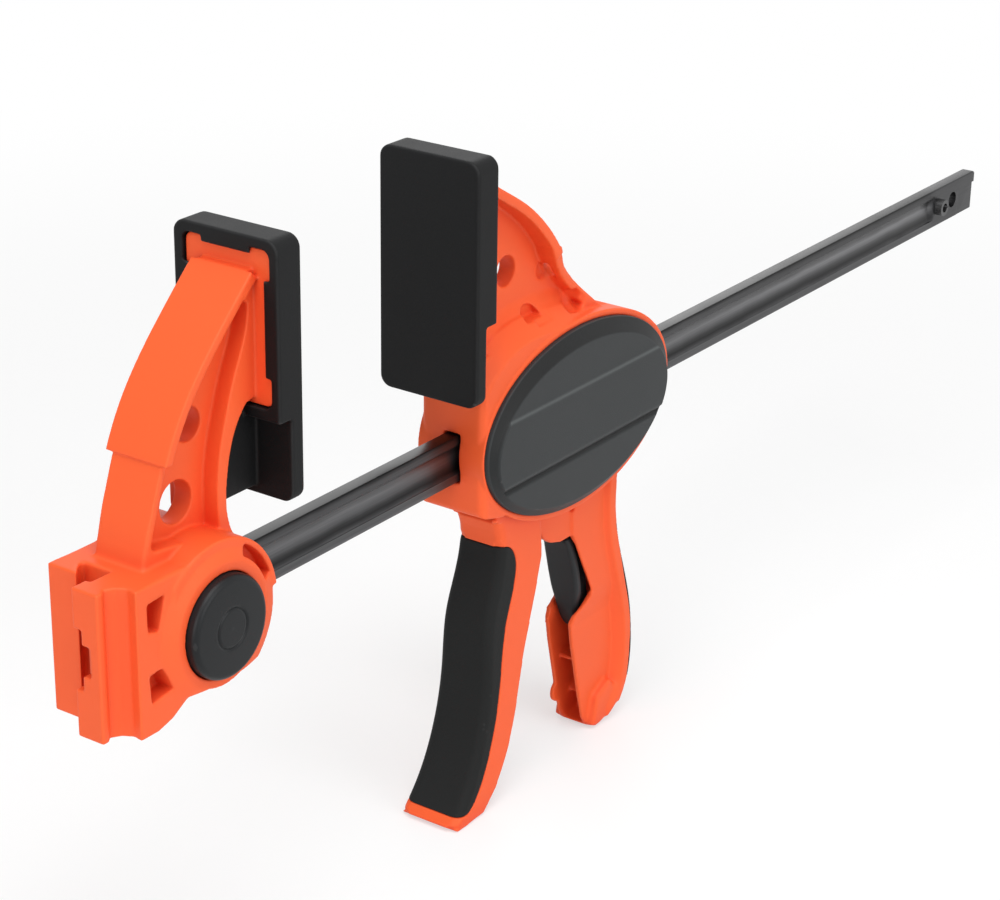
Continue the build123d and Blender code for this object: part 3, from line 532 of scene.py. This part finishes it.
bodyShape = {   # millimetres in the moving jaw
    # level z, x from, x to, y from, y to: wider walls beside the trigger and the small hump over it
    "wall": [(-16, 70, 96, 5, 7.6), (-46.4, 72.6, 94.5, 5, 7.6), (-52, 75.6, 94.5, 6.3, 7.6),
             (-59.1, 79.0, 95.5, 6.3, 7.6), (-66, 82.6, 97.5, 6.3, 7.6), (-72.6, 85.9, 99, 6.3, 7.4),
             (-75.4, 85.6, 100, 5, 7.1), (-77.8, 82.0, 101, 5, 6.7), (-80, 77.5, 102, 5, 6.2),
             (-85, 75.8, 104, 5, 5.5)],
    "hump": [(-16, 53, 76, 4.6, 6.8), (-38, 53.4, 76, 4.6, 6.8), (-42.2, 55.6, 76, 4.6, 6.8),
             (-45.4, 60, 76, 4.6, 6.8), (-47.3, 66, 73.5, 4.6, 6.8)],
    # the same for the channel that the trigger moves in, and for the line where the flange meets the drum
    "channel": [(-47.6, 66, 91, -6.3, 6.3), (-60, 70, 93, -6.3, 6.3), (-72, 74, 96.3, -6.3, 6.3),
                (-76, 74, 97.5, -5.6, 5.6), (-80, 70, 98.5, -4.4, 4.4), (-82.5, 70, 99, -3.95, 3.95)],
    "flangeStep": [(61, 52.0, 57.2, -10.8, 10.8), (58, 53.4, 57.9, -10.5, 10.5),
                   (54, 56.2, 59.9, -9.9, 9.9), (50, 59.6, 63.1, -9.4, 9.4), (46, 63.6, 67.7, -9.0, 9.0),
                   (42, 67.6, 72.5, -8.6, 8.6), (38, 71.6, 77.2, -8.2, 8.2), (35.5, 74.4, 79.8, -8.0, 8.0)],
    # ranges of x, y and z: the solid's cross rib and the thinner one in its place
    "oldRib": ((70, 100.5), (-3.95, 3.95), (-100.2, -95.6)),
    "newRib": ((83.5, 103), (-4.4, 4.4), (-101.2, -99.8)),
    # outline (x, z) and range of y: the opening at the handle's foot, the flange round it, the trimming
    "foot": ([(70, -117), (99, -117), (98.5, -121), (94.6, -125.4), (89.6, -126.6), (70, -126.6)],
             (-4.0, 4.0)),
    "flangeFoot": ([(87.4, -126.6), (90, -127.9), (93.3, -127.6), (96, -126.6), (101.9, -122.8),
                    (103.5, -118), (98, -112), (90, -116)], (-8.4, 8.4)),
    "flangeTrim": ([(86, -128.5), (89.8, -128.4), (93.2, -127.8), (96, -126.8), (102.2, -122.9),
                    (106, -126), (98, -134), (84, -134)], (-12, 12)),
    # crest (x, z) of the fillet between fin and drum, and the curve across it (y, rise over the crest)
    "shoulder": [(14, 31), (20, 35.5), (26, 38.6), (39, 40.4), (52, 40.5), (60, 39.6), (66, 38.2),
                 (70, 36.2), (76, 31.5), (82, 26.5)],
    "shoulderCurve": [(3.0, 5.4), (3.9, 3.2), (5.4, 1.0), (7.4, -1.2), (12.3, -6.2), (12.3, -12),
                      (3.0, -12)],
    # hollows: centre (x, z), radius, range of y
    "halfMoon": {"centre": (46.0, 38.6), "radius": 4.7, "flat": 0.95, "y": (3.6, 14.0)},
    "dents": [((67.6, 38.9), 4.3, (3.9, 9.5)), ((60.0, 52.6), 4.2, (2.7, 5.8))],
    "toolHole": ((72.3, -36.9), 1.4, (4.6, 9.4)),
}


def bodySteps(b):
    # what is joined to the moving jaw's solid and cut from it before its skin is made
    x, crest = np.array(b["shoulder"], dtype=float).T
    moon = b["halfMoon"]
    moonOutline = [(moon["centre"][0] + moon["radius"] * np.cos(t),
                    moon["centre"][1] + moon["radius"] * np.sin(t) * moon["flat"])
                   for t in np.linspace(0.0, np.pi, 15)]
    steps = [("DIFFERENCE", column("cut", b["channel"], jawShift)),
             ("DIFFERENCE", box("cut", *b["oldRib"], jawShift)),
             ("DIFFERENCE", slab("cut", *b["foot"], jawShift))]
    for side in (-1.0, 1.0):
        edges = [np.stack([x + jawShift, np.full(len(x), side * y), crest + rise], axis=-1)
                 for y, rise in b["shoulderCurve"]]
        steps += [("UNION", beam("fill", edges)),
                  ("UNION", column("fill", b["hump"], jawShift, side)),
                  ("UNION", column("fill", b["wall"], jawShift, side))]
    steps += [("UNION", column("fill", b["flangeStep"], jawShift)),
              ("UNION", slab("fill", *b["flangeFoot"], jawShift)),
              ("DIFFERENCE", slab("cut", *b["foot"], jawShift)),
              ("DIFFERENCE", slab("cut", *b["flangeTrim"], jawShift)),
              ("UNION", box("fill", *b["newRib"], jawShift))]
    for side in (-1.0, 1.0):
        steps.append(("DIFFERENCE", slab("cut", moonOutline, [side * y for y in moon["y"]], jawShift)))
        for hollow in b["dents"]:
            steps.append(("DIFFERENCE", dent("cut", *hollow, side, jawShift)))
    steps.append(("DIFFERENCE", dent("cut", *b["toolHole"], -1.0, jawShift)))
    return steps


def through(values, count):
    # smooth curve through rows of values: cubic Hermite pieces with slopes from their neighbours
    values = np.array(values, dtype=float)
    slope = np.gradient(values, axis=0)
    t = np.linspace(0.0, len(values) - 1.0, count)
    i = np.minimum(t.astype(int), len(values) - 2)
    f = (t - i)[:, None]
    a, b = values[i], values[i + 1]
    return (a * (2 * f ** 3 - 3 * f ** 2 + 1) + b * (3 * f ** 2 - 2 * f ** 3)
            + slope[i] * (f ** 3 - 2 * f ** 2 + f) + slope[i + 1] * (f ** 3 - f ** 2))


leverShape = {   # millimetres in the moving jaw
    "frontGuide": [(-128.3, 1.0), (-123.4, 3.5), (-105.0, 14.5), (-79.0, 20.0), (-60.0, 21.6),
                   (-46.6, 26.2), (-32.0, 28.2), (-23.5, 24.8)],   # level z, x of the front
    "halfWidth": [(-128.3, 11.3), (-124.0, 11.3), (-30.0, 9.0), (-23.5, 9.0)],   # level z, half the width
    "near": (2.2, 0.08),   # the solid's corner points lie this close to both guides, across x and y
    "cornerRadius": 3.2, "outside": 2.0, "from": -127.6, "to": -26.0, "levels": 70,
    "topGap": ((20.0, 31.0), (-8.3, 8.3), (-25.1, -23.2)),   # ranges of x, y and z
    "gateMark": ((24.9, -24.2), 1.0, (9.5, 8.0)),            # centre (x, z), radius, range of y
}


def leverCorners(s):
    # cutters that round the lever's two front corners: at each level a square less a quarter disc
    place = np.concatenate([np.array([v.co[:] for v in nodes[n].data.vertices])
                            for n in ("lever_grip", "pump_lever")])
    place = place / mm - np.array([jawShift, 0.0, 0.0])
    guideZ, guideX = np.array(s["frontGuide"]).T
    wideZ, wide = np.array(s["halfWidth"]).T
    fromFront = np.abs(place[:, 0] - np.interp(place[:, 2], guideZ, guideX))
    fromSide = np.abs(np.abs(place[:, 1]) - np.interp(place[:, 2], wideZ, wide))
    line = place[(fromFront < s["near"][0]) & (fromSide < s["near"][1])]
    line = line[np.argsort(line[:, 2])]
    z = np.linspace(s["from"], s["to"], s["levels"])
    x = np.interp(z, line[:, 2], line[:, 0])
    half = np.interp(z, wideZ, wide)
    r, out = s["cornerRadius"], s["outside"]
    section = [(r - r * np.sin(t), -r + r * np.cos(t)) for t in np.linspace(0.0, np.pi / 2, 9)]
    section = [(-out, out), (r, out)] + section + [(-out, -r)]
    steps = []
    for side in (-1.0, 1.0):
        edges = [np.stack([x + dx + jawShift, side * (half + dy), z], axis=-1) for dx, dy in section]
        steps.append(("DIFFERENCE", beam("cut", edges)))
    return steps


armBack = {   # millimetres; curve is x, z along the arm's back
    "curve": [(-11.8, 93.4), (-28.0, 77.8), (-43.3, 59.0), (-52.5, 38.0), (-58.0, 16.0)],
    "top": 48.0, "foot": 25.0, "depth": 0.8, "slope": 1.6, "levels": 40,
    "outside": -3.0, "half": 16.0,   # how far the cutter reaches behind the arm and to its sides
}


def armStep(s):
    # the lower part of the fixed arm's back is set in under a small step and comes out towards its foot
    line = through(s["curve"], 400)[::-1]
    z = np.linspace(s["foot"], s["top"], s["levels"])
    x = np.interp(z, line[:, 1], line[:, 0])
    deep = s["depth"] * easeStep((z - s["foot"]) / (s["top"] - s["foot"]) * s["slope"])
    out, half = s["outside"], s["half"]
    edges = [np.stack([x + dx, np.full(len(z), y), z], axis=-1)
             for dx, y in ((out, -half), (deep, -half), (deep, half), (out, half))]
    return [("DIFFERENCE", beam("cut", edges))]


strapSides = {   # millimetres in the moving jaw
    "back": [(96.6, -34.0), (96.8, -47.0), (103.0, -69.8), (107.8, -86.2), (109.2, -97.0), (108.0, -113.3),
             (103.4, -123.0)],   # x, z along the palm side of the handle
    "inner": 2.1, "outer": 0.6, "y": (8.7, 9.6), "steps": 60,
}


def strapSideFill(s, operation):
    # the soft strap's ends are closed at both sides of the handle, so that only a thin line of it shows
    line = through(s["back"], s["steps"])
    along = np.gradient(line, axis=0)
    inward = np.stack([along[:, 1], -along[:, 0]], axis=-1) / np.hypot(along[:, 0], along[:, 1])[:, None]
    y0, y1 = s["y"]
    steps = []
    for side in (-1.0, 1.0):
        edges = []
        for deep, y in ((s["inner"], y0), (s["outer"], y0), (s["outer"], y1), (s["inner"], y1)):
            x, z = (line + inward * deep).T
            edges.append(np.stack([x + jawShift, np.full(len(line), side * y), z], axis=-1))
        steps.append((operation, beam("fill", edges)))
    return steps


skins = [   # node, piece, finish, cell size, relaxing rounds, most triangles
    ("fixed_jaw", "fixedJawMoulding", "orangeNylon", 0.00032, 12, 190000),
    ("moving_jaw_body", "movingJawMoulding", "orangeNylon", 0.00034, 12, 195000),
    ("pump_lever", "leverMoulding", "orangeNylon", 0.00032, 10, 180000),
    ("fixed_pad", "fixedPadSkin", "padRubber", 0.00036, 8, 110000),
    ("moving_pad", "movingPadSkin", "padRubber", 0.00036, 8, 110000),
    ("lever_grip", "leverGripSkin", "gripRubber", 0.00034, 10, 110000),
    ("handle_backstrap", "backstrapSkin", "gripRubber", 0.00030, 5, 60000),
]
zonesOf = {   # piece: centre (x, z) and radius in millimetres, relaxing rounds
    "leverMoulding": [((100.0, -128.3), 9.0, 60)],
    "movingJawMoulding": [((177.5, -123.5), 15.0, 70), ((148.0, 45.0), 14.0, 30)],
    "fixedJawMoulding": [((-53.5, 22.5), 11.0, 40)],
}


def stepsFor(name):
    # what is joined to a node's solid and cut from it before its skin is made
    if name == "moving_jaw_body":
        return bodySteps(bodyShape) + strapSideFill(strapSides, "UNION")
    if name == "handle_backstrap":
        return strapSideFill(strapSides, "DIFFERENCE")
    if name == "fixed_jaw":
        return armStep(armBack)
    if name == "lever_grip":
        return leverCorners(leverShape)
    if name == "pump_lever":
        return leverCorners(leverShape) + [
            ("DIFFERENCE", box("cut", *leverShape["topGap"], jawShift)),
            ("UNION", dent("fill", *leverShape["gateMark"], -1.0, jawShift))]
    return ()


for name, label, finish, voxel, rounds, most in skins:
    moulded(name, label, mouldings[finish], voxel, rounds, most, stepsFor(name), zonesOf.get(label, ()))
print("stage: moulded skins done")

triggerShape = {
    # level z, x of the front face, half width; millimetres in the moving jaw
    "levels": [(-49.3, 73.6, 4.0), (-49.7, 72.8, 4.8), (-50.6, 72.5, 5.2), (-54, 73.7, 5.6),
               (-60, 75.6, 5.9), (-66, 77.2, 5.9), (-72, 78.6, 5.5), (-76, 79.3, 4.6), (-80, 80.0, 3.7),
               (-84, 81.5, 3.4), (-87.0, 83.4, 3.0), (-87.9, 84.4, 2.4)],
    "corner": 1.5, "wing": 3.0, "wingStep": 0.5, "steps": 90,
    # the stem: half width, how much narrower than the pad it is at least, start, depth, where it ends
    "stem": 3.3, "stemInset": 0.4, "stemStart": 1.4, "depth": 9.5, "back": 92.0,
}


def makeTrigger(s):
    # finger trigger: at each level a flat face with quarter-round corners, wings, and a stem behind
    z, front, half = through(s["levels"], s["steps"]).T
    arc = np.linspace(0.0, np.pi / 2, 7)
    # across (added to the half width) and behind the face
    section = [(-s["corner"] + s["corner"] * np.sin(t), s["corner"] * (1 - np.cos(t))) for t in arc]
    section += [(0.0, s["wing"]), (-s["wingStep"], s["wing"] + s["wingStep"])]
    rows = [(half + across, front + behind) for across, behind in section]
    stem = np.minimum(half - s["stemInset"], s["stem"])
    rows.append((stem, front + s["wing"] + s["stemStart"]))
    rows.append((stem, front + np.minimum(s["depth"], s["back"] - front)))
    right = [np.stack([x + jawShift, y, z], axis=-1) for y, x in rows]
    left = [np.stack([x + jawShift, -y, z], axis=-1) for y, x in rows[::-1]]
    piece = beam("fingerTrigger", right + left, angle=0.9)
    return standFor(piece, mouldings["triggerPlastic"], "release_trigger")


makeTrigger(triggerShape)

barShape = {   # metres
    "root": -0.0605, "end": 0.4625, "halfWidth": 0.0026, "halfHeight": 0.0080,
    "corner": 0.0005, "endCorner": 0.0021, "endTaper": 0.0004,
    # depth = grooveDepth (1 - |z / grooveHalf|^p)^q with the two powers p and q; it fades out near the end
    "grooveHalf": 0.0049, "grooveDepth": 0.0013, "groovePowers": (2.6, 0.6),
    "fadeStart": 0.4215, "fadeEnd": 0.4262,
    # beyond the hang hole the lower part of the bar is set in a little and ends a little sooner
    "ledge": (0.4478, 0.0034, 0.0005), "lowEnd": 0.4612,
    # how far the cutters stick out: in millimetres past the end, below and beside; in metres to each side
    "clear": (480.0, -20.0, 9.0), "reach": 0.01,
    "holes": [(0.4425, 0.0, 0.0033), (0.4300, 0.0, 0.0034), (-0.0352, -0.0019, 0.0037)],   # x, z, radius
}


def makeBar(b):
    # I-section carried along X: half width less the groove's hollow, corners as quarter circles
    corner = b["halfHeight"] - b["corner"]
    arc = np.linspace(0.0, np.pi / 2, 6)
    sideZ = np.concatenate([np.linspace(-corner, -b["grooveHalf"], 4),
                            -b["grooveHalf"] * np.cos(np.linspace(0.0, np.pi, 33))[1:-1],
                            np.linspace(b["grooveHalf"], corner, 4)])
    upZ = corner + b["corner"] * np.sin(arc[1:])
    z = np.concatenate([-upZ[::-1], sideZ, upZ])
    over = np.clip((np.abs(z) - corner) / b["corner"], 0.0, 1.0)
    y = b["halfWidth"] - b["corner"] * (1.0 - np.sqrt(1.0 - over ** 2))
    p, q = b["groovePowers"]
    hollow = b["grooveDepth"] * np.clip(1.0 - np.abs(z / b["grooveHalf"]) ** p, 0.0, 1.0) ** q
    x = np.concatenate([np.linspace(b["root"], b["fadeStart"], 60),
                        np.linspace(b["fadeStart"], b["fadeEnd"], 12)[1:],
                        np.linspace(b["fadeEnd"], b["end"] - b["endCorner"], 8)[1:],
                        b["end"] - b["endCorner"] * (1.0 - np.sin(np.linspace(0.0, np.pi / 2, 9)[1:]))])
    depth = 1.0 - easeStep((x - b["fadeStart"]) / (b["fadeEnd"] - b["fadeStart"]))
    into = np.clip((x - b["end"] + b["endCorner"]) / b["endCorner"], 0.0, 1.0)
    tall = 1.0 - b["endCorner"] / b["halfHeight"] * (1.0 - np.sqrt(1.0 - into ** 2))
    halfY = y[None, :] - depth[:, None] * hollow[None, :]
    halfY = halfY - b["endTaper"] * (into[:, None] ** 6)
    z = z[None, :] * tall[:, None]
    alongX = np.broadcast_to(x[:, None], z.shape)
    right = np.stack([alongX, halfY, z], axis=-1)
    left = np.stack([alongX, -halfY, z], axis=-1)[:, ::-1]
    bar = tube("barSteelStrip", np.concatenate([right, left], axis=1))
    reach = b["reach"]
    cutters = [turned("hole", [(0.0, -reach), (r, -reach), (r, reach), (0.0, reach)], (cx, cz), 40)
               for cx, cz, r in b["holes"]]
    start, top, deep = b["ledge"]
    past, below, beside = b["clear"]
    for side in (-1.0, 1.0):
        edge = sorted((side * (b["halfWidth"] - deep), side * reach))
        cutters.append(box("ledge", (start / mm, past), [y / mm for y in edge], (below, top / mm)))
    cutters.append(box("lowEnd", (b["lowEnd"] / mm, past), (-beside, beside), (below, top / mm)))
    sculpt(bar, [("DIFFERENCE", cutter) for cutter in cutters])
    bar.data.set_sharp_from_angle(angle=0.6)
    return standFor(bar, steels["barSteel"], "bar")


makeBar(barShape)

coverShape = {   # metres
    # outer oval, and the smaller flat oval inside it, set down by flatDrop; heights over the seat
    "centre": (0.1481, 0.0011), "long": 0.0526, "high": 0.0311,
    "flatLong": 0.0494, "flatHigh": 0.0268, "flatDrop": 0.0014,
    "seat": 0.0122, "rim": 0.0021, "face": 0.0040, "crown": 0.0002,
    # raised band between two levels of z, and the channel under it
    "bandTop": 0.0122, "bandLow": -0.0112, "bandProud": 0.0006, "topSlope": 0.0015, "lowSlope": 0.0008,
    "channel": 0.0007, "channelWidth": 0.0022, "channelSlope": 1.3,
    "edgeFall": (0.06, 0.10),   # how much, and over which share of the rise, the flat's edge is rounded
    "flatFrom": (0.72, 0.28),   # share of the rise where band and channel begin, share they come in over
    # the wall's rings: share by which each is larger than the face, metres it lies lower (None: the seat)
    "wallRings": ((0.0035, 0.0003), (0.0045, 0.0009), (0.0045, None)),
    # painted shade and highlight value: level z, half width and strength of each line (painted shade in the
    # channel above zero, painted highlight along the band's edges below zero); the bevel's least value of
    # painted shade and its increase
    "paintedLines": [(-0.0120, 0.0009, 1.4), (0.0115, 0.0005, -0.45), (-0.0102, 0.0005, -0.15)],
    "bevelShade": (0.45, 0.5), "bevelSoft": 0.02, "bevelTo": 0.995,   # the last two: shares of the ovals
    "grid": (330, 200), "bunched": 1.5,   # columns and rows, closer together towards the rim
}


def makeCover(node, label, side, s, proud=1.0):
    # oval cover: disc grid squeezed from a square, x = s.sqrt(1 - t^2/2), z = t.sqrt(1 - s^2/2);
    # its height rises from the rim to an inner oval, with a raised band and a channel under it
    angle = s["bunched"]
    across, up = (np.sin(np.linspace(-1.0, 1.0, n) * angle) / np.sin(angle) for n in s["grid"])
    sq, tq = np.meshgrid(across, up, indexing="ij")
    x = s["long"] * sq * np.sqrt(1.0 - tq ** 2 / 2.0)
    z = s["high"] * tq * np.sqrt(1.0 - sq ** 2 / 2.0)
    outer = np.sqrt((x / s["long"]) ** 2 + (z / s["high"]) ** 2)
    inner = np.sqrt((x / s["flatLong"]) ** 2 + ((z + s["flatDrop"]) / s["flatHigh"]) ** 2)
    rise = np.clip((1.0 - outer) / np.maximum((1.0 - outer) + (inner - 1.0), 1e-6), 0.0, 1.0)
    rise = np.where(inner <= 1.0, 1.0, rise)
    fall, fallWidth = s["edgeFall"]
    soft = rise - fall * np.exp(-((rise - 1.0) / fallWidth) ** 2)
    height = s["rim"] + (s["face"] - s["rim"]) * soft
    height = height + s["crown"] * (1.0 - outer ** 2)
    top = easeStep((s["bandTop"] - z) / s["topSlope"])
    low = easeStep((z - s["bandLow"]) / s["lowSlope"])
    halfChannel = s["channelWidth"] / 2.0
    groove = np.clip(1.0 - np.abs(z - s["bandLow"] + halfChannel) / halfChannel, 0.0, 1.0)
    plateau = easeStep((rise - s["flatFrom"][0]) / s["flatFrom"][1])
    channel = s["channel"] * easeStep(groove * s["channelSlope"])
    height = height + plateau * (s["bandProud"] * top * low - channel)
    height = np.minimum(height, s["face"] + s["bandProud"]) * proud
    y = side * (s["seat"] + height)
    front = np.stack([s["centre"][0] + x, y, s["centre"][1] + z], axis=-1).reshape(-1, 3)

    # the wall: rings of points outside the grid's edge, down to the seat
    index = np.arange(sq.size).reshape(sq.shape)
    edge = np.concatenate([index[:, 0], index[-1, 1:], index[-2::-1, -1], index[0, -2:0:-1]])
    loop = front[edge]
    centre = np.array([s["centre"][0], 0.0, s["centre"][1]])
    rings, points = [edge], [front]
    count = sq.size
    for grow, drop in s["wallRings"]:
        ring = centre + (loop - centre) * (1.0 + grow)
        ring[:, 1] = side * s["seat"] if drop is None else loop[:, 1] - side * drop
        points.append(ring)
        rings.append(np.arange(count, count + len(edge)))
        count += len(edge)
    walls = [np.stack([a, np.roll(a, -1), np.roll(b, -1), b], axis=-1)
             for a, b in zip(rings[:-1], rings[1:])]
    faces = np.concatenate([gridFaces(index), *walls]).tolist() + [rings[-1].tolist()]
    piece = solidMesh(label, np.concatenate(points).tolist(), faces, angle=0.9)

    # the painted shade and highlight value of each point: painted shade on bevel and channel above zero,
    # painted highlight on narrow lit edges below zero
    least, more = s["bevelShade"]
    tone = easeStep((inner - 1.0) / s["bevelSoft"]) * (outer < s["bevelTo"])
    tone = tone * (least + more * easeStep(0.5 + z / s["high"]))   # painted shade, stronger towards the top
    for level, width, strength in s["paintedLines"]:
        tone = tone + strength * np.exp(-((z - level) / width) ** 2) * plateau
    paintedTones = np.zeros(len(piece.data.vertices))
    paintedTones[:sq.size] = np.clip(tone, -1.0, 1.0).ravel()
    piece.data.attributes.new("paintedShadeHighlight", "FLOAT", "POINT").data.foreach_set("value", paintedTones)
    return standFor(piece, mouldings["greyPlastic"], node)


makeCover("badge_cover_near", "coverNear", -1, coverShape)
makeCover("badge_cover_far", "coverFar", 1, coverShape, proud=0.40)

buttonShape = {
    "centre": (-0.0352, -0.0019), "radius": 0.0154, "back": -0.0130, "face": -0.0214, "edge": 0.0019,
    "dome": 0.0003, "wall": 0.0022,
    "ring": (0.0055, 0.0065), "ringDepth": 0.0004, "ringSoft": 0.7,   # metres, but the last: a share
}


def makeButton(s):
    # cap turned from its profile: skirt, quarter-round rim, faintly domed face with one ring, hollow back
    arc = np.linspace(0.0, np.pi / 2, 10)
    rimR = s["radius"] - s["edge"] * (1.0 - np.cos(arc))
    rimY = s["face"] + s["dome"] + s["edge"] * (1.0 - np.sin(arc))
    flatR = np.linspace(s["radius"] - s["edge"], 0.0, 46)[1:]
    flatY = s["face"] + s["dome"] * (flatR / (s["radius"] - s["edge"])) ** 2
    middle = 0.5 * (s["ring"][0] + s["ring"][1])
    half = 0.5 * (s["ring"][1] - s["ring"][0])
    flatY = flatY + s["ringDepth"] * np.exp(-((flatR - middle) / (half * s["ringSoft"])) ** 2)
    inside = s["radius"] - s["wall"]
    roof = s["face"] + s["wall"]
    profile = [(0.0, roof), (inside, roof), (inside, s["back"]), (s["radius"], s["back"])]
    profile += list(zip(rimR, rimY)) + list(zip(flatR, flatY))
    button = turned("pushButtonCap", profile, s["centre"], 128, angle=0.7)
    return standFor(button, mouldings["buttonPlastic"], "push_button")


makeButton(buttonShape)
print("stage: bar, covers and button done")

# the other pieces keep the shape of their solids
slotFinish = {"orange_nylon": mouldings["orangeNylon"], "pad_rubber": mouldings["padRubber"],
              "grip_rubber": mouldings["gripRubber"], "grey_plastic": mouldings["greyPlastic"],
              "trigger_plastic": mouldings["triggerPlastic"], "button_plastic": mouldings["buttonPlastic"],
              "bar_steel": steels["barSteel"], "pin_steel": steels["pinSteel"],
              "plate_steel": steels["plateSteel"]}
for part in frame["record"]["subparts"]:
    dress(nodes[part["node"]], slotFinish[part["material_slot"]])
dress(nodes["end_stop_pin"], steels["stopSteel"])

studio = {
    "floorLevel": cadBox[0][2] - 0.0002, "floorHalf": 6.0,
    "floorColour": (0.90, 0.90, 0.90), "fibreDepth": 0.015,
    "floorGlow": 0.55,          # share of plain white that the camera sees in the floor
    "glowReach": (0.35, 0.9),   # metres from the middle over which the floor turns plain white
    "middle": (0.10, 0.0),
    "world": 0.32,
    "lamps": [   # name, place, aims at, size, watts
        ("above", (-0.25, -0.35, 1.5), (0.12, 0.0, 0.0), 1.4, 21.0),
        ("near", (0.10, -1.6, 0.55), (0.12, 0.0, 0.0), 1.2, 11.0),
        ("rim", (1.6, 1.06, 0.8), (0.12, 0.0, 0.0), 1.0, 5.0),
        ("left", (-1.5, -0.3, 0.5), (0.10, 0.0, 0.0), 1.0, 9.0),
    ],
}


def seenShare(tree):
    # 1 for what is seen directly, in a reflection or through glass, 0 for what only lights the object
    path = add(tree, "ShaderNodeLightPath")
    seen = mathNode(tree, "MAXIMUM", path.outputs["Is Camera Ray"], path.outputs["Is Glossy Ray"])
    return mathNode(tree, "MAXIMUM", seen, path.outputs["Is Transmission Ray"])


def makeFloor(s):
    # white paper; where it is seen it is mostly plain white, wholly so away from the object
    half = s["floorHalf"]
    mesh = bpy.data.meshes.new("floor")
    corners = [(-half, -half), (half, -half), (half, half), (-half, half)]
    mesh.from_pydata([(x, y, s["floorLevel"]) for x, y in corners], [], [(0, 1, 2, 3)])
    floor = addObject("floor", mesh)
    material, tree, shader = newMaterial("floorPaper")
    where = add(tree, "ShaderNodeTexCoord").outputs["Object"]
    fibre = add(tree, "ShaderNodeTexNoise", {"Vector": where}, Scale=300.0, Detail=3.0)
    low = tuple(c - s["fibreDepth"] for c in s["floorColour"])
    paper = mixColour(tree, fibre.outputs["Fac"], low, s["floorColour"])
    tree.links.new(paper, shader.inputs["Base Color"])
    shader.inputs["Roughness"].default_value = 0.9
    shader.inputs["Specular IOR Level"].default_value = 0.1
    away = add(tree, "ShaderNodeVectorMath", {0: where}, operation="DISTANCE")
    away.inputs[1].default_value = (*s["middle"], s["floorLevel"])
    reach = add(tree, "ShaderNodeMapRange", {"Value": away.outputs["Value"]},
                interpolation_type="SMOOTHSTEP")
    for key, value in (("From Min", s["glowReach"][0]), ("From Max", s["glowReach"][1]),
                       ("To Min", s["floorGlow"]), ("To Max", 1.0)):
        reach.inputs[key].default_value = value
    share = mathNode(tree, "MULTIPLY", seenShare(tree), reach.outputs[0])
    glow = add(tree, "ShaderNodeEmission", Strength=1.0)
    mix = add(tree, "ShaderNodeMixShader", {"Fac": share, 1: shader.outputs[0], 2: glow.outputs[0]})
    tree.links.new(mix.outputs[0], tree.nodes["Material Output"].inputs["Surface"])
    dress(floor, material)


def makeWorld(s):
    # plain white where it is seen, and of the given strength as light
    world = bpy.data.worlds.new("studioAir")
    scene.world = world
    world.use_nodes = True
    tree = world.node_tree
    back = tree.nodes["Background"]
    strength = mathNode(tree, "MULTIPLY_ADD", seenShare(tree), 1.0 - s["world"], s["world"])
    tree.links.new(strength, back.inputs["Strength"])
    back.inputs["Color"].default_value = (1.0, 1.0, 1.0, 1.0)


def makeLamps(s):
    for name, place, target, width, power in s["lamps"]:
        lampData = bpy.data.lights.new(name, "AREA")
        lampData.shape = "DISK"
        lampData.size = width
        lampData.energy = power
        lamp = bpy.data.objects.new(name, lampData)
        scene.collection.objects.link(lamp)
        aim = (Vector(target) - Vector(place)).to_track_quat("-Z", "Y")
        lamp.matrix_world = Matrix.Translation(place) @ aim.to_matrix().to_4x4()


makeFloor(studio)
makeWorld(studio)
makeLamps(studio)
scene.view_settings.view_transform = "Standard"
print("stage: studio set")
